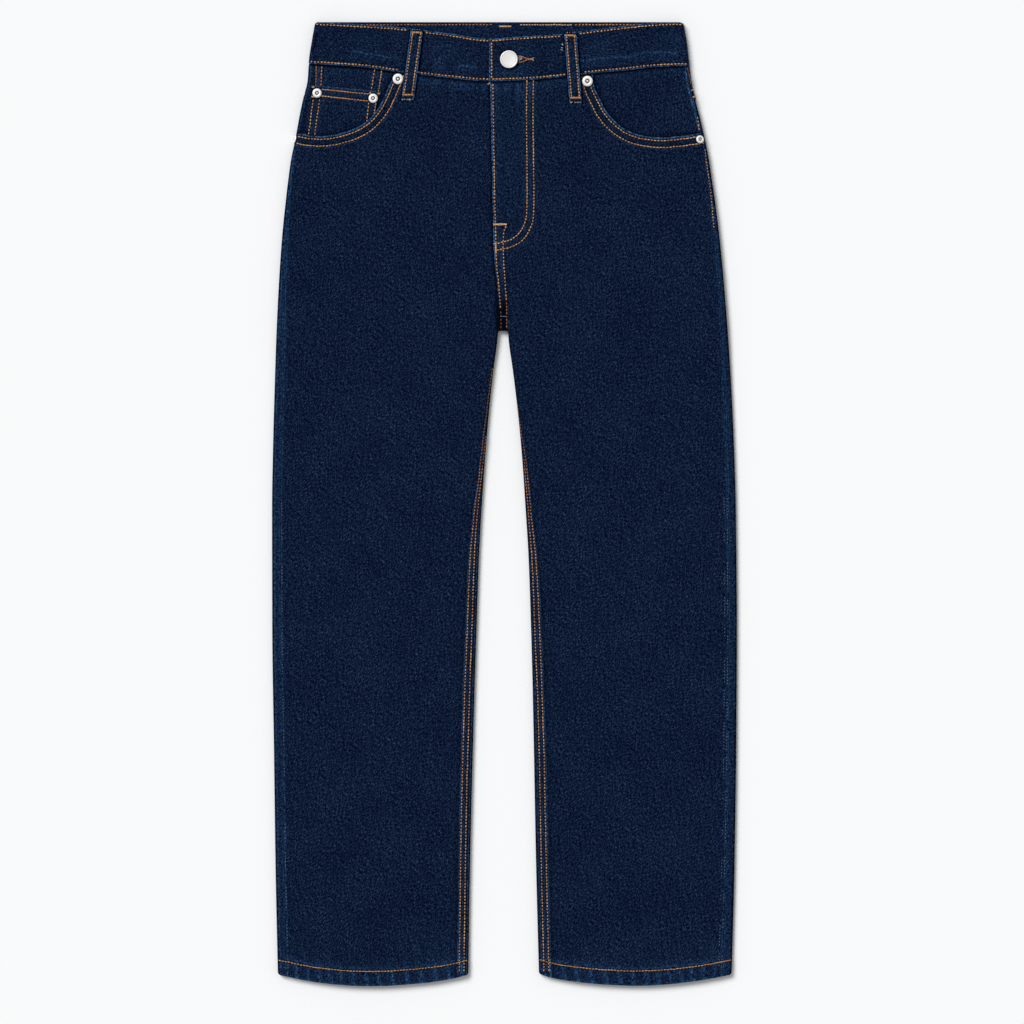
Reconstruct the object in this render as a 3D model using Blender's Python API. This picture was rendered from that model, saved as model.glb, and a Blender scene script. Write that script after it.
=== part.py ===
"""Loose fit jeans laid flat with the front up, each cut piece a wall of its own.

X runs to the wearer's left, Y from the hems to the waist and Z up from the table.
Sizes are in millimetres and become metres when a mesh is made.
"""

import math

import bmesh
import bpy
import numpy as np

MM = 0.001
LEFT = 1
RIGHT = -1
SIDES = {"left": LEFT, "right": RIGHT}

# Cloth
WALL = 1.3
THIN_WALL = 1.0
BAND_WALL = 3.0
LOOP_WALL = 1.6
GAP = 0.3
FOLD = 3.0
BAND_FOLD = 3.3
QUARTER = FOLD * math.pi / 2
CROWN = 0.5
FLY_LIFT = WALL + GAP
HEM_RAISE = 0.9

# Levels along the garment
BACK_TOP_Y = 506.0
BACK_SEAM_Y = 462.0
YOKE_SIDE_Y = 430.0
YOKE_CENTRE_Y = 398.0
YOKE_HALF = 205.0
CROTCH_Y = 181.6
CENTRE_X = -1.05
HEM_CORNER_Y = -493.0
HEM_HEIGHT = 17.3

# Silhouette seen from the front
OUTLINE = (
    ("y", "right_x", "left_x"),
    (506.0, -198.2, 187.6),
    (487.2, -201.6, 191.1),
    (466.2, -204.8, 193.6),
    (445.2, -206.2, 196.1),
    (424.2, -211.2, 201.0),
    (403.2, -215.5, 206.3),
    (382.2, -219.3, 211.1),
    (361.2, -223.7, 215.3),
    (340.2, -226.6, 218.4),
    (319.2, -229.1, 221.5),
    (277.2, -233.3, 226.6),
    (235.2, -236.2, 230.7),
    (182.7, -238.8, 234.9),
    (119.7, -241.0, 238.9),
    (56.7, -242.7, 241.7),
    (-6.3, -243.7, 243.5),
    (-132.3, -243.5, 244.6),
    (-258.3, -241.7, 243.9),
    (-384.3, -240.0, 242.1),
    (-506.0, -237.3, 238.8),
)
INNER_LEG = (
    ("y", "right_x", "left_x"),
    (181.2, -6.2, 4.2),
    (170.0, -7.2, 5.0),
    (141.8, -11.0, 9.0),
    (105.0, -15.0, 13.5),
    (54.0, -19.4, 18.6),
    (-13.7, -24.1, 23.2),
    (-53.6, -26.2, 25.7),
    (-134.4, -29.0, 28.5),
    (-203.7, -31.2, 30.3),
    (-384.3, -35.8, 33.8),
    (-506.0, -37.7, 37.1),
)

# How far the outseam and the inseam lie in from the edge of the leg, seen from the front
OUTSEAM_INSET = (
    ("y", "right", "left"),
    (462.0, 0.0, 2.6),
    (386.0, 0.3, 3.4),
    (345.0, 2.2, 3.6),
    (305.0, 4.2, 4.0),
    (213.0, 7.2, 6.0),
    (133.0, 8.9, 7.6),
    (-506.0, 9.8, 10.0),
)
INSEAM_INSET = (
    ("y", "right", "left"),
    (181.2, 0.0, 0.0),
    (142.0, 0.3, 0.0),
    (78.0, 0.6, 0.0),
    (40.0, 1.0, 0.4),
    (-88.0, 2.4, 0.7),
    (-225.0, 2.4, 4.2),
    (-506.0, 2.4, 4.4),
)

# Curved edges across the garment
WAIST_TOP = (
    ("x", "y"),
    (-198.5, 505.8),
    (-170.0, 504.2),
    (-148.0, 503.0),
    (-116.0, 500.7),
    (-96.6, 498.7),
    (-82.0, 496.7),
    (-62.0, 494.3),
    (-13.7, 488.1),
    (9.0, 489.7),
    (29.4, 491.0),
    (56.0, 492.9),
    (65.1, 493.8),
    (102.9, 498.6),
    (168.0, 505.0),
    (189.0, 505.5),
)
WAIST_SEAM = (
    ("x", "y"),
    (-203.7, 462.0),
    (-148.1, 458.4),
    (-112.0, 453.4),
    (-70.4, 448.3),
    (-56.7, 446.8),
    (-13.7, 443.4),
    (23.1, 444.6),
    (65.1, 448.6),
    (102.9, 452.9),
    (132.0, 455.4),
    (151.2, 457.8),
    (179.0, 459.4),
    (192.0, 459.7),
)
HEM_LINE = (
    ("x", "y"),
    (-237.3, -494.2),
    (-228.4, -496.0),
    (-213.7, -499.1),
    (-199.0, -501.7),
    (-184.3, -503.6),
    (-169.6, -505.0),
    (-154.9, -505.9),
    (-140.2, -506.1),
    (-125.5, -505.9),
    (-110.8, -505.1),
    (-96.1, -503.9),
    (-81.4, -502.6),
    (-66.7, -500.6),
    (-52.0, -497.9),
    (-37.8, -494.8),
    (36.8, -494.0),
    (48.8, -497.1),
    (59.3, -499.2),
    (74.0, -501.4),
    (88.7, -503.0),
    (103.4, -504.3),
    (118.1, -505.1),
    (132.8, -505.7),
    (147.5, -505.6),
    (162.2, -504.9),
    (176.9, -503.8),
    (191.6, -502.1),
    (206.3, -500.1),
    (221.0, -497.5),
    (239.4, -494.0),
)

# Edge of the left front over the right front, and how far it laps over
FLY_EDGE = (
    ("y", "x", "lap"),
    (462.0, -14.7, 4.0),
    (371.7, -13.1, 4.0),
    (296.1, -11.6, 4.0),
    (272.0, -11.1, 4.0),
    (259.0, -10.4, 4.0),
    (248.0, -9.5, 4.0),
    (235.0, -7.8, 4.0),
    (225.0, -7.0, 4.0),
    (218.0, -6.5, 4.0),
    (203.0, -6.0, -0.15),
    (181.6, -5.9, -0.15),
)
# Width of the stitched fly under the left front
FLY_WIDTH = (
    ("y", "width"),
    (462.0, 42.0),
    (316.0, 42.0),
    (291.0, 34.0),
    (275.0, 20.0),
    (262.0, 6.0),
    (181.6, 6.0),
)
FLY_RAMP = 9.0
LIFT_END_Y = 190.0
LIFT_FULL_Y = 203.0

# Height that the seat and the waist keep over the back pockets and belt loops
REST_RISE = (
    ("y", "z"),
    (-506.0, 0.0),
    (120.0, 0.0),
    (196.0, 1.65),
    (392.0, 1.65),
    (412.0, 2.2),
    (506.0, 2.2),
)

# Rows over which the curves of the waist, the yoke seam and the hem fade out
WAIST_BOW = (330.0, 461.0)
YOKE_BOW = (330.0, 429.0)
HEM_BOW = (-380.0, -475.0)

# Rows of each grid, from the waist to the hem
FRONT_HIP_ROWS = (461.7, 446, 430, 412, 392, 360, 330, 302, 274, 260, 246, 232, 218, 203, 192, 182.2)
BACK_HIP_ROWS = (429.7, 412, 392, 370, 345, 315, 280, 240, 203, 192, 182.2)
LEG_ROWS = (181.1, 178.4, 168, 140, 100, 54, -14, -90, -170, -250, -330, -400, -446, -470)
HEM_ROWS = (HEM_CORNER_Y + HEM_HEIGHT + 1.0, HEM_CORNER_Y + HEM_HEIGHT, HEM_CORNER_Y)

# Columns of each grid, across the garment
FLAT_PAST_FOLD = 6.0
FRONT_FOLD_COLUMNS = 4
FRONT_COLUMNS = 9
BACK_FOLD_COLUMNS = 5
BACK_COLUMNS = 7
SEAM_STRIP = 1.0
UNDER_STEP = 1.5
YOKE_ROWS = 4
YOKE_COLUMNS = 8

# Edge of each pocket mouth, from above the waist seam to the side fold
MOUTH_EDGE = {
    LEFT: (
        (93.2, 462.0),
        (93.4, 448.4),
        (94.5, 438.9),
        (100.4, 425.5),
        (106.8, 412.9),
        (115.4, 402.6),
        (125.1, 394.6),
        (135.8, 389.2),
        (148.6, 385.9),
        (165.7, 384.4),
        (181.8, 385.6),
        (200.0, 388.0),
        (209.0, 389.4),
    ),
    RIGHT: (
        (-113.6, 462.0),
        (-115.6, 451.0),
        (-120.2, 439.4),
        (-125.1, 427.9),
        (-131.0, 416.6),
        (-139.0, 406.2),
        (-149.2, 397.9),
        (-160.4, 392.3),
        (-171.2, 389.0),
        (-181.9, 386.7),
        (-192.6, 385.9),
        (-203.3, 386.5),
        (-217.0, 389.2),
    ),
}
FACING_MARGIN = 8.0
FACING_DEPTH = {LEFT: WALL + GAP, RIGHT: WALL + THIN_WALL + 2 * GAP}
FACING_DIP = 6.0
FACING_TURN = 10.0
FACING_STRIP = 0.8
FACING_ROWS = 6
FACING_SHARES = (0.0, 0.12, 0.3, 0.5, 0.68, 0.83, 0.93, 1.0)
COIN_DEPTH = WALL + GAP
COIN_MARGIN = 6.0
COIN_POCKET = (
    ("y", "outer_x", "inner_x"),
    (441.0, -200.2, -127.4),
    (408.5, -205.0, -133.8),
    (380.0, -208.4, -137.0),
)
COIN_TOP = {"outer": 439.6, "inner": 433.2}
COIN_LOW_Y = 390.0
COIN_ROWS = 5
COIN_COLUMNS = 6
MOUTH_STEPS = 24
MOUTH_CUT_TOP_Y = 500.0
CUT_PAST = 20.0
CUT_LOW_Z = -5.0
CUT_HIGH_Z = 40.0

# Back pockets, on the underside
BACK_POCKET = (
    ("y", "inner", "outer"),
    (388.0, 36.0, 184.0),
    (262.0, 44.0, 176.0),
    (230.0, 110.0, 110.0),
)
BACK_POCKET_ROWS = 4
BACK_POCKET_COLUMNS = 7

# Waistband
BAND_END_X = -15.5
UNDERLAP_END_X = 29.4
LAP_RAMP = (31.0, 46.0)
LAP_LIFT = BAND_WALL + GAP
LAP_COLUMNS = (BAND_END_X, 2.0, 16.0, 31.0, 36.0, 41.0, 46.0)
BAND_ROWS = 3
BAND_FRONT_STEPS = 9
BAND_BACK_STEPS = 9
BAND_UNDER_STEPS = 12
BAND_TURN = (90, 45, 0, -45, -90)
BUTTON_X = 5.2
BUTTON_Y = 466.2
BUTTONHOLE = {"from_x": 2.9, "to_x": 28.0, "wide": 3.6}
BUTTON_PROFILE = (
    ("radius", "z"),
    (0.0, 2.6),
    (5.4, 2.7),
    (6.6, 3.6),
    (8.3, 3.7),
    (9.3, 2.7),
    (9.2, 1.2),
    (7.6, 0.2),
    (1.5, 0.0),
    (1.5, -3.2),
    (0.0, -3.2),
)
RIVET_PROFILE = (
    ("share", "z"),
    (0.0, 1.8),
    (0.33, 1.7),
    (0.44, 1.0),
    (0.65, 1.3),
    (0.93, 0.8),
    (1.0, 0.0),
    (0.0, 0.0),
)
BUTTON_STEPS = 24
RIVET_STEPS = 14

# Belt loops: place of both ends, and how far the middle stands off
LOOP_WIDE = 13.0
LOOP_GAP = 0.5
LOOP_BULGE = 1.6
LOOP_TACK = 0.22
LOOP_STEP = 6.0
LOOP_FRONT_ROWS = 9
LOOP_SIDE_ROWS = 8
LOOP_SIDE_COLUMNS = 6
LOOP_BACK_ROWS = 4
FRONT_LOOPS = {
    LEFT: {"top": (69.6, 494.1), "bottom": (75.1, 422.1)},
    RIGHT: {"top": (-91.4, 497.2), "bottom": (-100.8, 425.2)},
}
SIDE_LOOP = {
    LEFT: {"top_y": 505.0, "bottom_y": 424.0, "from": -15.0, "to": -2.0},
    RIGHT: {"top_y": 505.0, "bottom_y": 432.0, "from": -16.2, "to": -3.2},
}
BACK_LOOP = {"x": 1.0, "top_y": 505.0, "bottom_y": 432.0}

# Rivets flat on the cloth, then those by a side fold with their distance in from its edge
FLAT_RIVETS = (
    ("name", "x", "y", "radius", "drop"),
    ("rivet_coin_outer", -196.2, 431.3, 5.0, COIN_DEPTH),
    ("rivet_coin_inner", -137.3, 425.8, 5.0, COIN_DEPTH),
    ("rivet_mouth_right_inner", -111.2, 446.0, 5.75, 0.0),
    ("rivet_mouth_left_inner", 87.6, 443.7, 5.75, 0.0),
)
SIDE_RIVETS = (
    ("name", "side", "inset", "y", "radius", "tilt"),
    ("rivet_mouth_right_outer", RIGHT, -0.2, 383.0, 4.6, 75),
    ("rivet_mouth_left_outer", LEFT, 4.6, 382.4, 4.2, 12),
)
SLOPE_REACH = 5.0
MERGE = 0.05

DENIM = (0.0052, 0.0110, 0.0290)
STEEL = (0.62, 0.62, 0.60)


def curve(xs, ys, at):
    """Cubic through the points that never swings past a point to either side."""
    at = np.clip(at, xs[0], xs[-1])
    rises = np.diff(ys) / np.diff(xs)
    slopes = np.concatenate([rises[:1], np.zeros(len(xs) - 2), rises[-1:]])
    same = rises[:-1] * rises[1:] > 0
    total = np.where(same, rises[:-1] + rises[1:], 1.0)
    slopes[1:-1] = np.where(same, 2 * rises[:-1] * rises[1:] / total, 0.0)
    i = np.clip(np.searchsorted(xs, at) - 1, 0, len(xs) - 2)
    h = xs[i + 1] - xs[i]
    s = (at - xs[i]) / h
    start = (1 + 2 * s) * (1 - s) ** 2 * ys[i] + s * (1 - s) ** 2 * h * slopes[i]
    end = s**2 * (3 - 2 * s) * ys[i + 1] - s**2 * (1 - s) * h * slopes[i + 1]
    return start + end


def read(table, name, at):
    """A named column of a table, at places given in terms of its first column."""
    rows = np.array(sorted(table[1:]), float)
    return curve(rows[:, 0], rows[:, table[0].index(name)], np.asarray(at, float))


def ramp(value):
    """0 below 0, 1 above 1, and smooth between them."""
    value = np.clip(value, 0.0, 1.0)
    return value**2 * (3 - 2 * value)


def between(value, limits):
    """0 at the first limit, 1 at the second, and smooth between them."""
    return ramp((value - limits[0]) / (limits[1] - limits[0]))


def side_name(side):
    return "left" if side == LEFT else "right"


def outer_edge(side, y):
    return read(OUTLINE, side_name(side) + "_x", y)


def wrap_length(inset):
    """Length round a fold from its outermost line to a line this far in."""
    on_arc = FOLD * np.arccos(np.clip(1 - inset / FOLD, -1.0, 1.0))
    return np.where(inset < FOLD, on_arc, QUARTER + inset - FOLD)


def fold(edge, outward, length, depth, radius=FOLD):
    """x and z at a length round a fold, up from its outermost line, below the surface."""
    quarter = radius * math.pi / 2
    angle = np.clip(length, -quarter, quarter) / radius
    run = np.maximum(np.abs(length) - quarter, 0.0)
    x = edge - outward * (radius - (radius - depth) * np.cos(angle) + run)
    z = radius + (radius - depth) * np.sin(angle)
    return x, z


def rise(y):
    return read(REST_RISE, "z", y)


def fly_lift(x, y):
    """How far the left front stands up over the fly."""
    past = x - read(FLY_EDGE, "x", y) - read(FLY_WIDTH, "width", y)
    along = between(y, (LIFT_END_Y, LIFT_FULL_Y))
    return FLY_LIFT * along * (1 - ramp(past / FLY_RAMP))


def waist_bow(x, y_row):
    return (read(WAIST_SEAM, "y", x) - BACK_SEAM_Y) * between(y_row, WAIST_BOW)


def yoke_y(x):
    share = np.clip(np.abs(x) / YOKE_HALF, 0.0, 1.0)
    return YOKE_CENTRE_Y + (YOKE_SIDE_Y - YOKE_CENTRE_Y) * share


def hem_bow(x, y_row):
    return (read(HEM_LINE, "y", x) - HEM_CORNER_Y) * between(y_row, HEM_BOW)


def hem_raise(y_row):
    """Extra thickness where the hem is turned up."""
    return HEM_RAISE * (y_row <= HEM_CORNER_Y + HEM_HEIGHT)


def front_panel(side, depth):
    """Grid of points of a front, from the outseam to the fly edge or the inseam."""
    y_row = np.array(FRONT_HIP_ROWS + LEG_ROWS + HEM_ROWS)[:, None]
    hip = y_row > CROTCH_Y
    seam = wrap_length(read(OUTSEAM_INSET, side_name(side), y_row)) + GAP / 2
    flat = np.maximum(seam, QUARTER) + FLAT_PAST_FOLD
    steps = np.linspace(0, 1, FRONT_FOLD_COLUMNS)[None]
    outer_x, outer_z = fold(outer_edge(side, y_row), side, seam + (flat - seam) * steps, depth)
    lap = GAP / 2 if side == LEFT else read(FLY_EDGE, "lap", y_row)
    centre = read(FLY_EDGE, "x", y_row) + lap - side * FOLD
    edge = np.where(hip, centre, read(INNER_LEG, side_name(side) + "_x", y_row))
    inseam = wrap_length(read(INSEAM_INSET, side_name(side), y_row)) + GAP / 2
    seam = np.where(hip, QUARTER, inseam)
    flat = np.maximum(seam, QUARTER) + FLAT_PAST_FOLD
    inner_x, inner_z = fold(edge, -side, flat + (seam - flat) * steps, depth)
    across = np.linspace(0, 1, FRONT_COLUMNS)[None, 1:-1]
    middle_x = outer_x[:, -1:] * (1 - across) + inner_x[:, :1] * across
    middle_z = 2 * FOLD - depth + CROWN * np.sin(math.pi * across) + 0 * y_row
    x = np.hstack([outer_x, middle_x, inner_x])
    z = np.hstack([outer_z, middle_z, inner_z])
    if depth == 0:
        z = z + hem_raise(y_row) * ramp((z - FOLD) / FOLD)
    if side == LEFT:
        z = z + fly_lift(x, y_row)
    y = y_row + waist_bow(x, y_row) + hem_bow(x, y_row)
    return np.stack([x, y, z + rise(y_row)], -1)


def back_strip(seam):
    """Lengths round a side fold of a back piece, from its seam down to the underside."""
    top = np.minimum(QUARTER, seam - SEAM_STRIP)
    steps = np.linspace(1, 0, BACK_FOLD_COLUMNS)[None]
    return np.hstack([seam, -QUARTER + (top + QUARTER) * steps])


def back_panel(side, depth):
    """Grid of points of a back, from the outseam round the underside to the inseam."""
    y_row = np.array(BACK_HIP_ROWS + LEG_ROWS + HEM_ROWS)[:, None]
    hip = y_row > CROTCH_Y
    seam = wrap_length(read(OUTSEAM_INSET, side_name(side), y_row)) - GAP / 2
    outer_x, outer_z = fold(outer_edge(side, y_row), side, back_strip(seam), depth)
    centre = CENTRE_X + side * (GAP / 2 - FOLD)
    edge = np.where(hip, centre, read(INNER_LEG, side_name(side) + "_x", y_row))
    inseam = wrap_length(read(INSEAM_INSET, side_name(side), y_row)) - GAP / 2
    under = -QUARTER - UNDER_STEP * np.arange(BACK_FOLD_COLUMNS + 1)[None]
    lengths = np.where(hip, under, back_strip(inseam))[:, ::-1]
    inner_x, inner_z = fold(edge, -side, lengths, depth)
    across = np.linspace(0, 1, BACK_COLUMNS)[None, 1:-1]
    middle_x = outer_x[:, -1:] * (1 - across) + inner_x[:, :1] * across
    middle_z = depth + 0 * middle_x
    x = np.hstack([outer_x, middle_x, inner_x])
    z = np.hstack([outer_z, middle_z, inner_z])
    if depth > 0:
        z = z + hem_raise(y_row) * ramp((FOLD - z) / FOLD)
    y = y_row + (yoke_y(x) - YOKE_SIDE_Y) * between(y_row, YOKE_BOW) + hem_bow(x, y_row)
    return np.stack([x, y, z + rise(y_row)], -1)


def yoke_panel(side, depth):
    """Grid of points of a yoke, from the outseam to the centre back."""
    down = np.linspace(0, 1, YOKE_ROWS)[:, None]
    y_side = BACK_SEAM_Y - GAP + (YOKE_SIDE_Y - BACK_SEAM_Y + GAP) * down
    seam = wrap_length(read(OUTSEAM_INSET, side_name(side), y_side)) - GAP / 2
    outer_x, outer_z = fold(outer_edge(side, y_side), side, back_strip(seam), depth)
    across = np.linspace(0, 1, YOKE_COLUMNS)[None, 1:]
    middle_x = outer_x[:, -1:] * (1 - across) + (CENTRE_X + side * GAP / 2) * across
    x = np.hstack([outer_x, middle_x])
    z = np.hstack([outer_z, depth + 0 * middle_x])
    side_drop = read(WAIST_SEAM, "y", outer_edge(side, BACK_SEAM_Y)) - BACK_SEAM_Y
    up_fold = np.hstack([(1 + (outer_z - FOLD) / (FOLD - depth)) / 2, 0 * middle_x])
    top = BACK_SEAM_Y - GAP + side_drop * up_fold
    y = top + (yoke_y(x) - top) * down
    return np.stack([x, y, z + rise(y)], -1)


def mouth_edge(side, margin=0.0):
    """Points along the edge of a pocket mouth that is larger all round by a margin."""
    points = np.array(MOUTH_EDGE[side])
    walk = np.concatenate([[0.0], np.cumsum(np.hypot(*np.diff(points, axis=0).T))])
    at = np.linspace(0.0, walk[-1], MOUTH_STEPS)
    x, y = curve(walk, points[:, 0], at), curve(walk, points[:, 1], at)
    along_x, along_y = np.gradient(x), np.gradient(y)
    out = side * margin / np.hypot(along_x, along_y)
    return x + out * along_y, y - out * along_x


def mouth_y(side, x, margin):
    """Lower edge of a pocket mouth that is larger all round by a margin."""
    edge_x, edge_y = mouth_edge(side, margin)
    order = np.argsort(edge_x)
    high_y = MOUTH_EDGE[side][1][1]
    return np.minimum(np.interp(x, edge_x[order], edge_y[order]), high_y)


def facing(side, depth):
    """Grid of points of a hip pocket facing, from the outseam to past the mouth."""
    down = np.linspace(0, 1, FACING_ROWS)[:, None]
    corner_y = MOUTH_EDGE[side][-1][1]
    end = mouth_edge(side, FACING_MARGIN)[0][0]
    low_edge = outer_edge(side, corner_y)
    share = np.array(FACING_SHARES)[None]
    near_low = low_edge - side * FACING_TURN
    low_y = mouth_y(side, near_low * (1 - share) + end * share, FACING_MARGIN)
    low_y = np.hstack([np.full((1, 3), corner_y + GAP), low_y])
    side_y = BACK_SEAM_Y - GAP + (corner_y - BACK_SEAM_Y) * down
    edge = outer_edge(side, side_y)
    seam = wrap_length(read(OUTSEAM_INSET, side_name(side), side_y)) + GAP
    turns = np.hstack([seam, np.maximum((seam + QUARTER) / 2, seam + FACING_STRIP)])
    fold_x, fold_z = fold(edge, side, turns, depth)
    dip_x = edge - side * FACING_DIP
    near = edge - side * FACING_TURN
    inner_x = near * (1 - share) + end * share
    x = np.hstack([fold_x, dip_x, inner_x])
    low = 2 * FOLD - FACING_DEPTH[side] - depth
    z = np.hstack([fold_z, low + 0 * dip_x, low + 0 * inner_x])
    high_y = read(WAIST_SEAM, "y", x[:1]) - GAP
    y = high_y + (low_y - high_y) * down
    return np.stack([x, y, z + rise(y)], -1)


def coin_pocket(depth):
    """Grid of points of the small pocket, from its mouth to under the front panel."""
    down = np.linspace(0, 1, COIN_ROWS)[:, None]
    across = np.linspace(0, 1, COIN_COLUMNS)[None]
    high_y = COIN_TOP["outer"] + (COIN_TOP["inner"] - COIN_TOP["outer"]) * across
    y = high_y + (COIN_LOW_Y - high_y) * down
    outer = read(COIN_POCKET, "outer_x", y)
    inner = read(COIN_POCKET, "inner_x", y)
    x = outer + (inner - outer) * across
    y = high_y + (mouth_y(RIGHT, x, COIN_MARGIN) - high_y) * down
    z = 2 * FOLD - COIN_DEPTH - depth + 0 * y
    return np.stack([x, y, z + rise(y)], -1)


def back_pocket(side, depth):
    """Grid of points of a patch pocket under the seat, its bottom edge a blunt point."""
    across = np.linspace(0, 1, BACK_POCKET_COLUMNS)[None]
    down = np.linspace(0, 1, BACK_POCKET_ROWS)[:, None]
    high_y, wide_y, point_y = (row[0] for row in BACK_POCKET[1:])
    y_side = high_y + (wide_y - high_y) * down
    inner = read(BACK_POCKET[:3], "inner", y_side)
    outer = read(BACK_POCKET[:3], "outer", y_side)
    x = side * (inner + (outer - inner) * across)
    y = y_side - (wide_y - point_y) * (1 - np.abs(2 * across - 1)) * down
    z = depth + 0 * x
    return np.stack([x, y, z], -1)


def waistband(depth):
    """Grid of points of the band, from the buttonhole end over the back to the underlap."""
    columns = []
    up = np.linspace(0, 1, BAND_ROWS)
    left_flat = outer_edge(LEFT, BACK_SEAM_Y) - BAND_FOLD
    right_flat = outer_edge(RIGHT, BACK_SEAM_Y) + BAND_FOLD
    past_lap = np.linspace(LAP_COLUMNS[-1], left_flat, BAND_FRONT_STEPS)[1:-1]
    over = np.concatenate([LAP_COLUMNS, past_lap])
    back = np.linspace(left_flat, right_flat, BAND_BACK_STEPS)[1:-1]
    under = np.linspace(right_flat, UNDERLAP_END_X, BAND_UNDER_STEPS)[1:]
    turn = np.radians(BAND_TURN)
    for x in over:
        columns.append((x, 1.0, LAP_LIFT * (1 - between(x, LAP_RAMP))))
    columns += [(LEFT, math.sin(angle), 0.0) for angle in turn]
    columns += [(x, -1.0, 0.0) for x in back]
    columns += [(RIGHT, math.sin(angle), 0.0) for angle in turn[::-1]]
    columns += [(x, 1.0, 0.0) for x in under]
    points = []
    for place, facing_up, lift in columns:
        side = LEFT if place > 0 else RIGHT
        front_share = (1 + facing_up) / 2
        if abs(place) == 1:
            x_flat = outer_edge(side, BACK_SEAM_Y)
        else:
            x_flat = place
        low = read(WAIST_SEAM, "y", x_flat) * front_share + BACK_SEAM_Y * (1 - front_share)
        high = read(WAIST_TOP, "y", x_flat) * front_share + BACK_TOP_Y * (1 - front_share)
        y = low + (high - low) * up
        edge = outer_edge(side, y)
        z = BAND_FOLD + (BAND_FOLD - depth) * facing_up + lift
        if abs(place) == 1:
            level = math.sqrt(max(1 - facing_up**2, 0.0))
            x = edge - side * (BAND_FOLD - (BAND_FOLD - depth) * level)
        else:
            x = place * edge / outer_edge(side, BACK_SEAM_Y)
        points.append(np.stack([x, y, z + rise(y)], -1))
    return np.array(points)


def loop_front(side, depth):
    """Grid of points of a front belt loop, tacked at both ends and off the band between."""
    ends = FRONT_LOOPS[side]
    along = np.linspace(0, 1, LOOP_FRONT_ROWS)[:, None]
    across = np.array([-0.5, 0.5])[None] * LOOP_WIDE
    x = ends["top"][0] + (ends["bottom"][0] - ends["top"][0]) * along + across
    y = ends["top"][1] + (ends["bottom"][1] - ends["top"][1]) * along + 0 * across
    on_band = ramp((y - read(WAIST_SEAM, "y", x)) / LOOP_STEP + 1)
    base = 2 * FOLD + CROWN + (2 * BAND_FOLD - 2 * FOLD - CROWN) * on_band
    off = LOOP_BULGE * ramp(along / LOOP_TACK) * ramp((1 - along) / LOOP_TACK)
    z = base + LOOP_GAP + LOOP_WALL - depth + off
    return np.stack([x, y, z + rise(y)], -1)


def loop_side(side, depth):
    """Grid of points of a side belt loop, which wraps the fold over the outseam."""
    ends = SIDE_LOOP[side]
    y = np.linspace(ends["top_y"], ends["bottom_y"], LOOP_SIDE_ROWS)[:, None]
    length = np.linspace(ends["from"], ends["to"], LOOP_SIDE_COLUMNS)[None]
    away = LOOP_GAP + LOOP_WALL - depth
    x, z = fold(outer_edge(side, y), side, length, -away, BAND_FOLD)
    return np.stack([x, y + 0 * x, z + rise(y)], -1)


def loop_back(depth):
    """Grid of points of the centre back belt loop, flat under the band."""
    y = np.linspace(BACK_LOOP["top_y"], BACK_LOOP["bottom_y"], LOOP_BACK_ROWS)[:, None]
    x = BACK_LOOP["x"] + np.array([-0.5, 0.5])[None] * LOOP_WIDE
    z = depth + 0 * x
    return np.stack([x + 0 * y, y + 0 * x, z + 0 * y], -1)


def finish(name, mesh, colour, metallic=0.0, roughness=0.85):
    """Object with its own material."""
    thing = bpy.data.objects.new(name, mesh)
    bpy.context.scene.collection.objects.link(thing)
    material = bpy.data.materials.new(name)
    material.use_nodes = True
    shader = material.node_tree.nodes["Principled BSDF"]
    shader.inputs["Base Color"].default_value = (*colour, 1.0)
    shader.inputs["Metallic"].default_value = metallic
    shader.inputs["Roughness"].default_value = roughness
    mesh.materials.append(material)
    return thing


def wall(name, outer, inner, colour=DENIM):
    """Closed wall between two grids of points, with its four edges."""
    mesh = bpy.data.meshes.new(name)
    shape = bmesh.new()
    rows, columns = outer.shape[:2]
    skins = []
    for grid in (outer, inner):
        skins.append([[shape.verts.new(point * MM) for point in row] for row in grid])
    top, bottom = skins
    for i in range(rows - 1):
        for j in range(columns - 1):
            shape.faces.new((top[i][j], top[i][j + 1], top[i + 1][j + 1], top[i + 1][j]))
            shape.faces.new(
                (bottom[i][j], bottom[i + 1][j], bottom[i + 1][j + 1], bottom[i][j + 1])
            )
    around = [(0, j) for j in range(columns)] + [(i, columns - 1) for i in range(1, rows)]
    around += [(rows - 1, j) for j in range(columns - 2, -1, -1)]
    around += [(i, 0) for i in range(rows - 2, 0, -1)]
    for (i, j), (k, m) in zip(around, around[1:] + around[:1]):
        shape.faces.new((top[i][j], bottom[i][j], bottom[k][m], top[k][m]))
    bmesh.ops.triangulate(shape, faces=shape.faces[:])
    if shape.calc_volume(signed=True) < 0:
        bmesh.ops.reverse_faces(shape, faces=shape.faces[:])
    shape.to_mesh(mesh)
    shape.free()
    return finish(name, mesh, colour)


def prism(name, outline, low, high):
    """Upright block over an outline, used to cut."""
    mesh = bpy.data.meshes.new(name)
    shape = bmesh.new()
    base = shape.faces.new([shape.verts.new((x * MM, y * MM, low * MM)) for x, y in outline])
    grown = bmesh.ops.extrude_face_region(shape, geom=[base])
    lifted = [part for part in grown["geom"] if isinstance(part, bmesh.types.BMVert)]
    bmesh.ops.translate(shape, verts=lifted, vec=(0, 0, (high - low) * MM))
    bmesh.ops.recalc_face_normals(shape, faces=shape.faces[:])
    shape.to_mesh(mesh)
    shape.free()
    cutter = bpy.data.objects.new(name, mesh)
    bpy.context.scene.collection.objects.link(cutter)
    cutter.hide_render = True
    cutter.display_type = "WIRE"
    return cutter


def cut(thing, cutter):
    change = thing.modifiers.new("cut", "BOOLEAN")
    change.operation = "DIFFERENCE"
    change.solver = "EXACT"
    change.object = cutter


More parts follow.
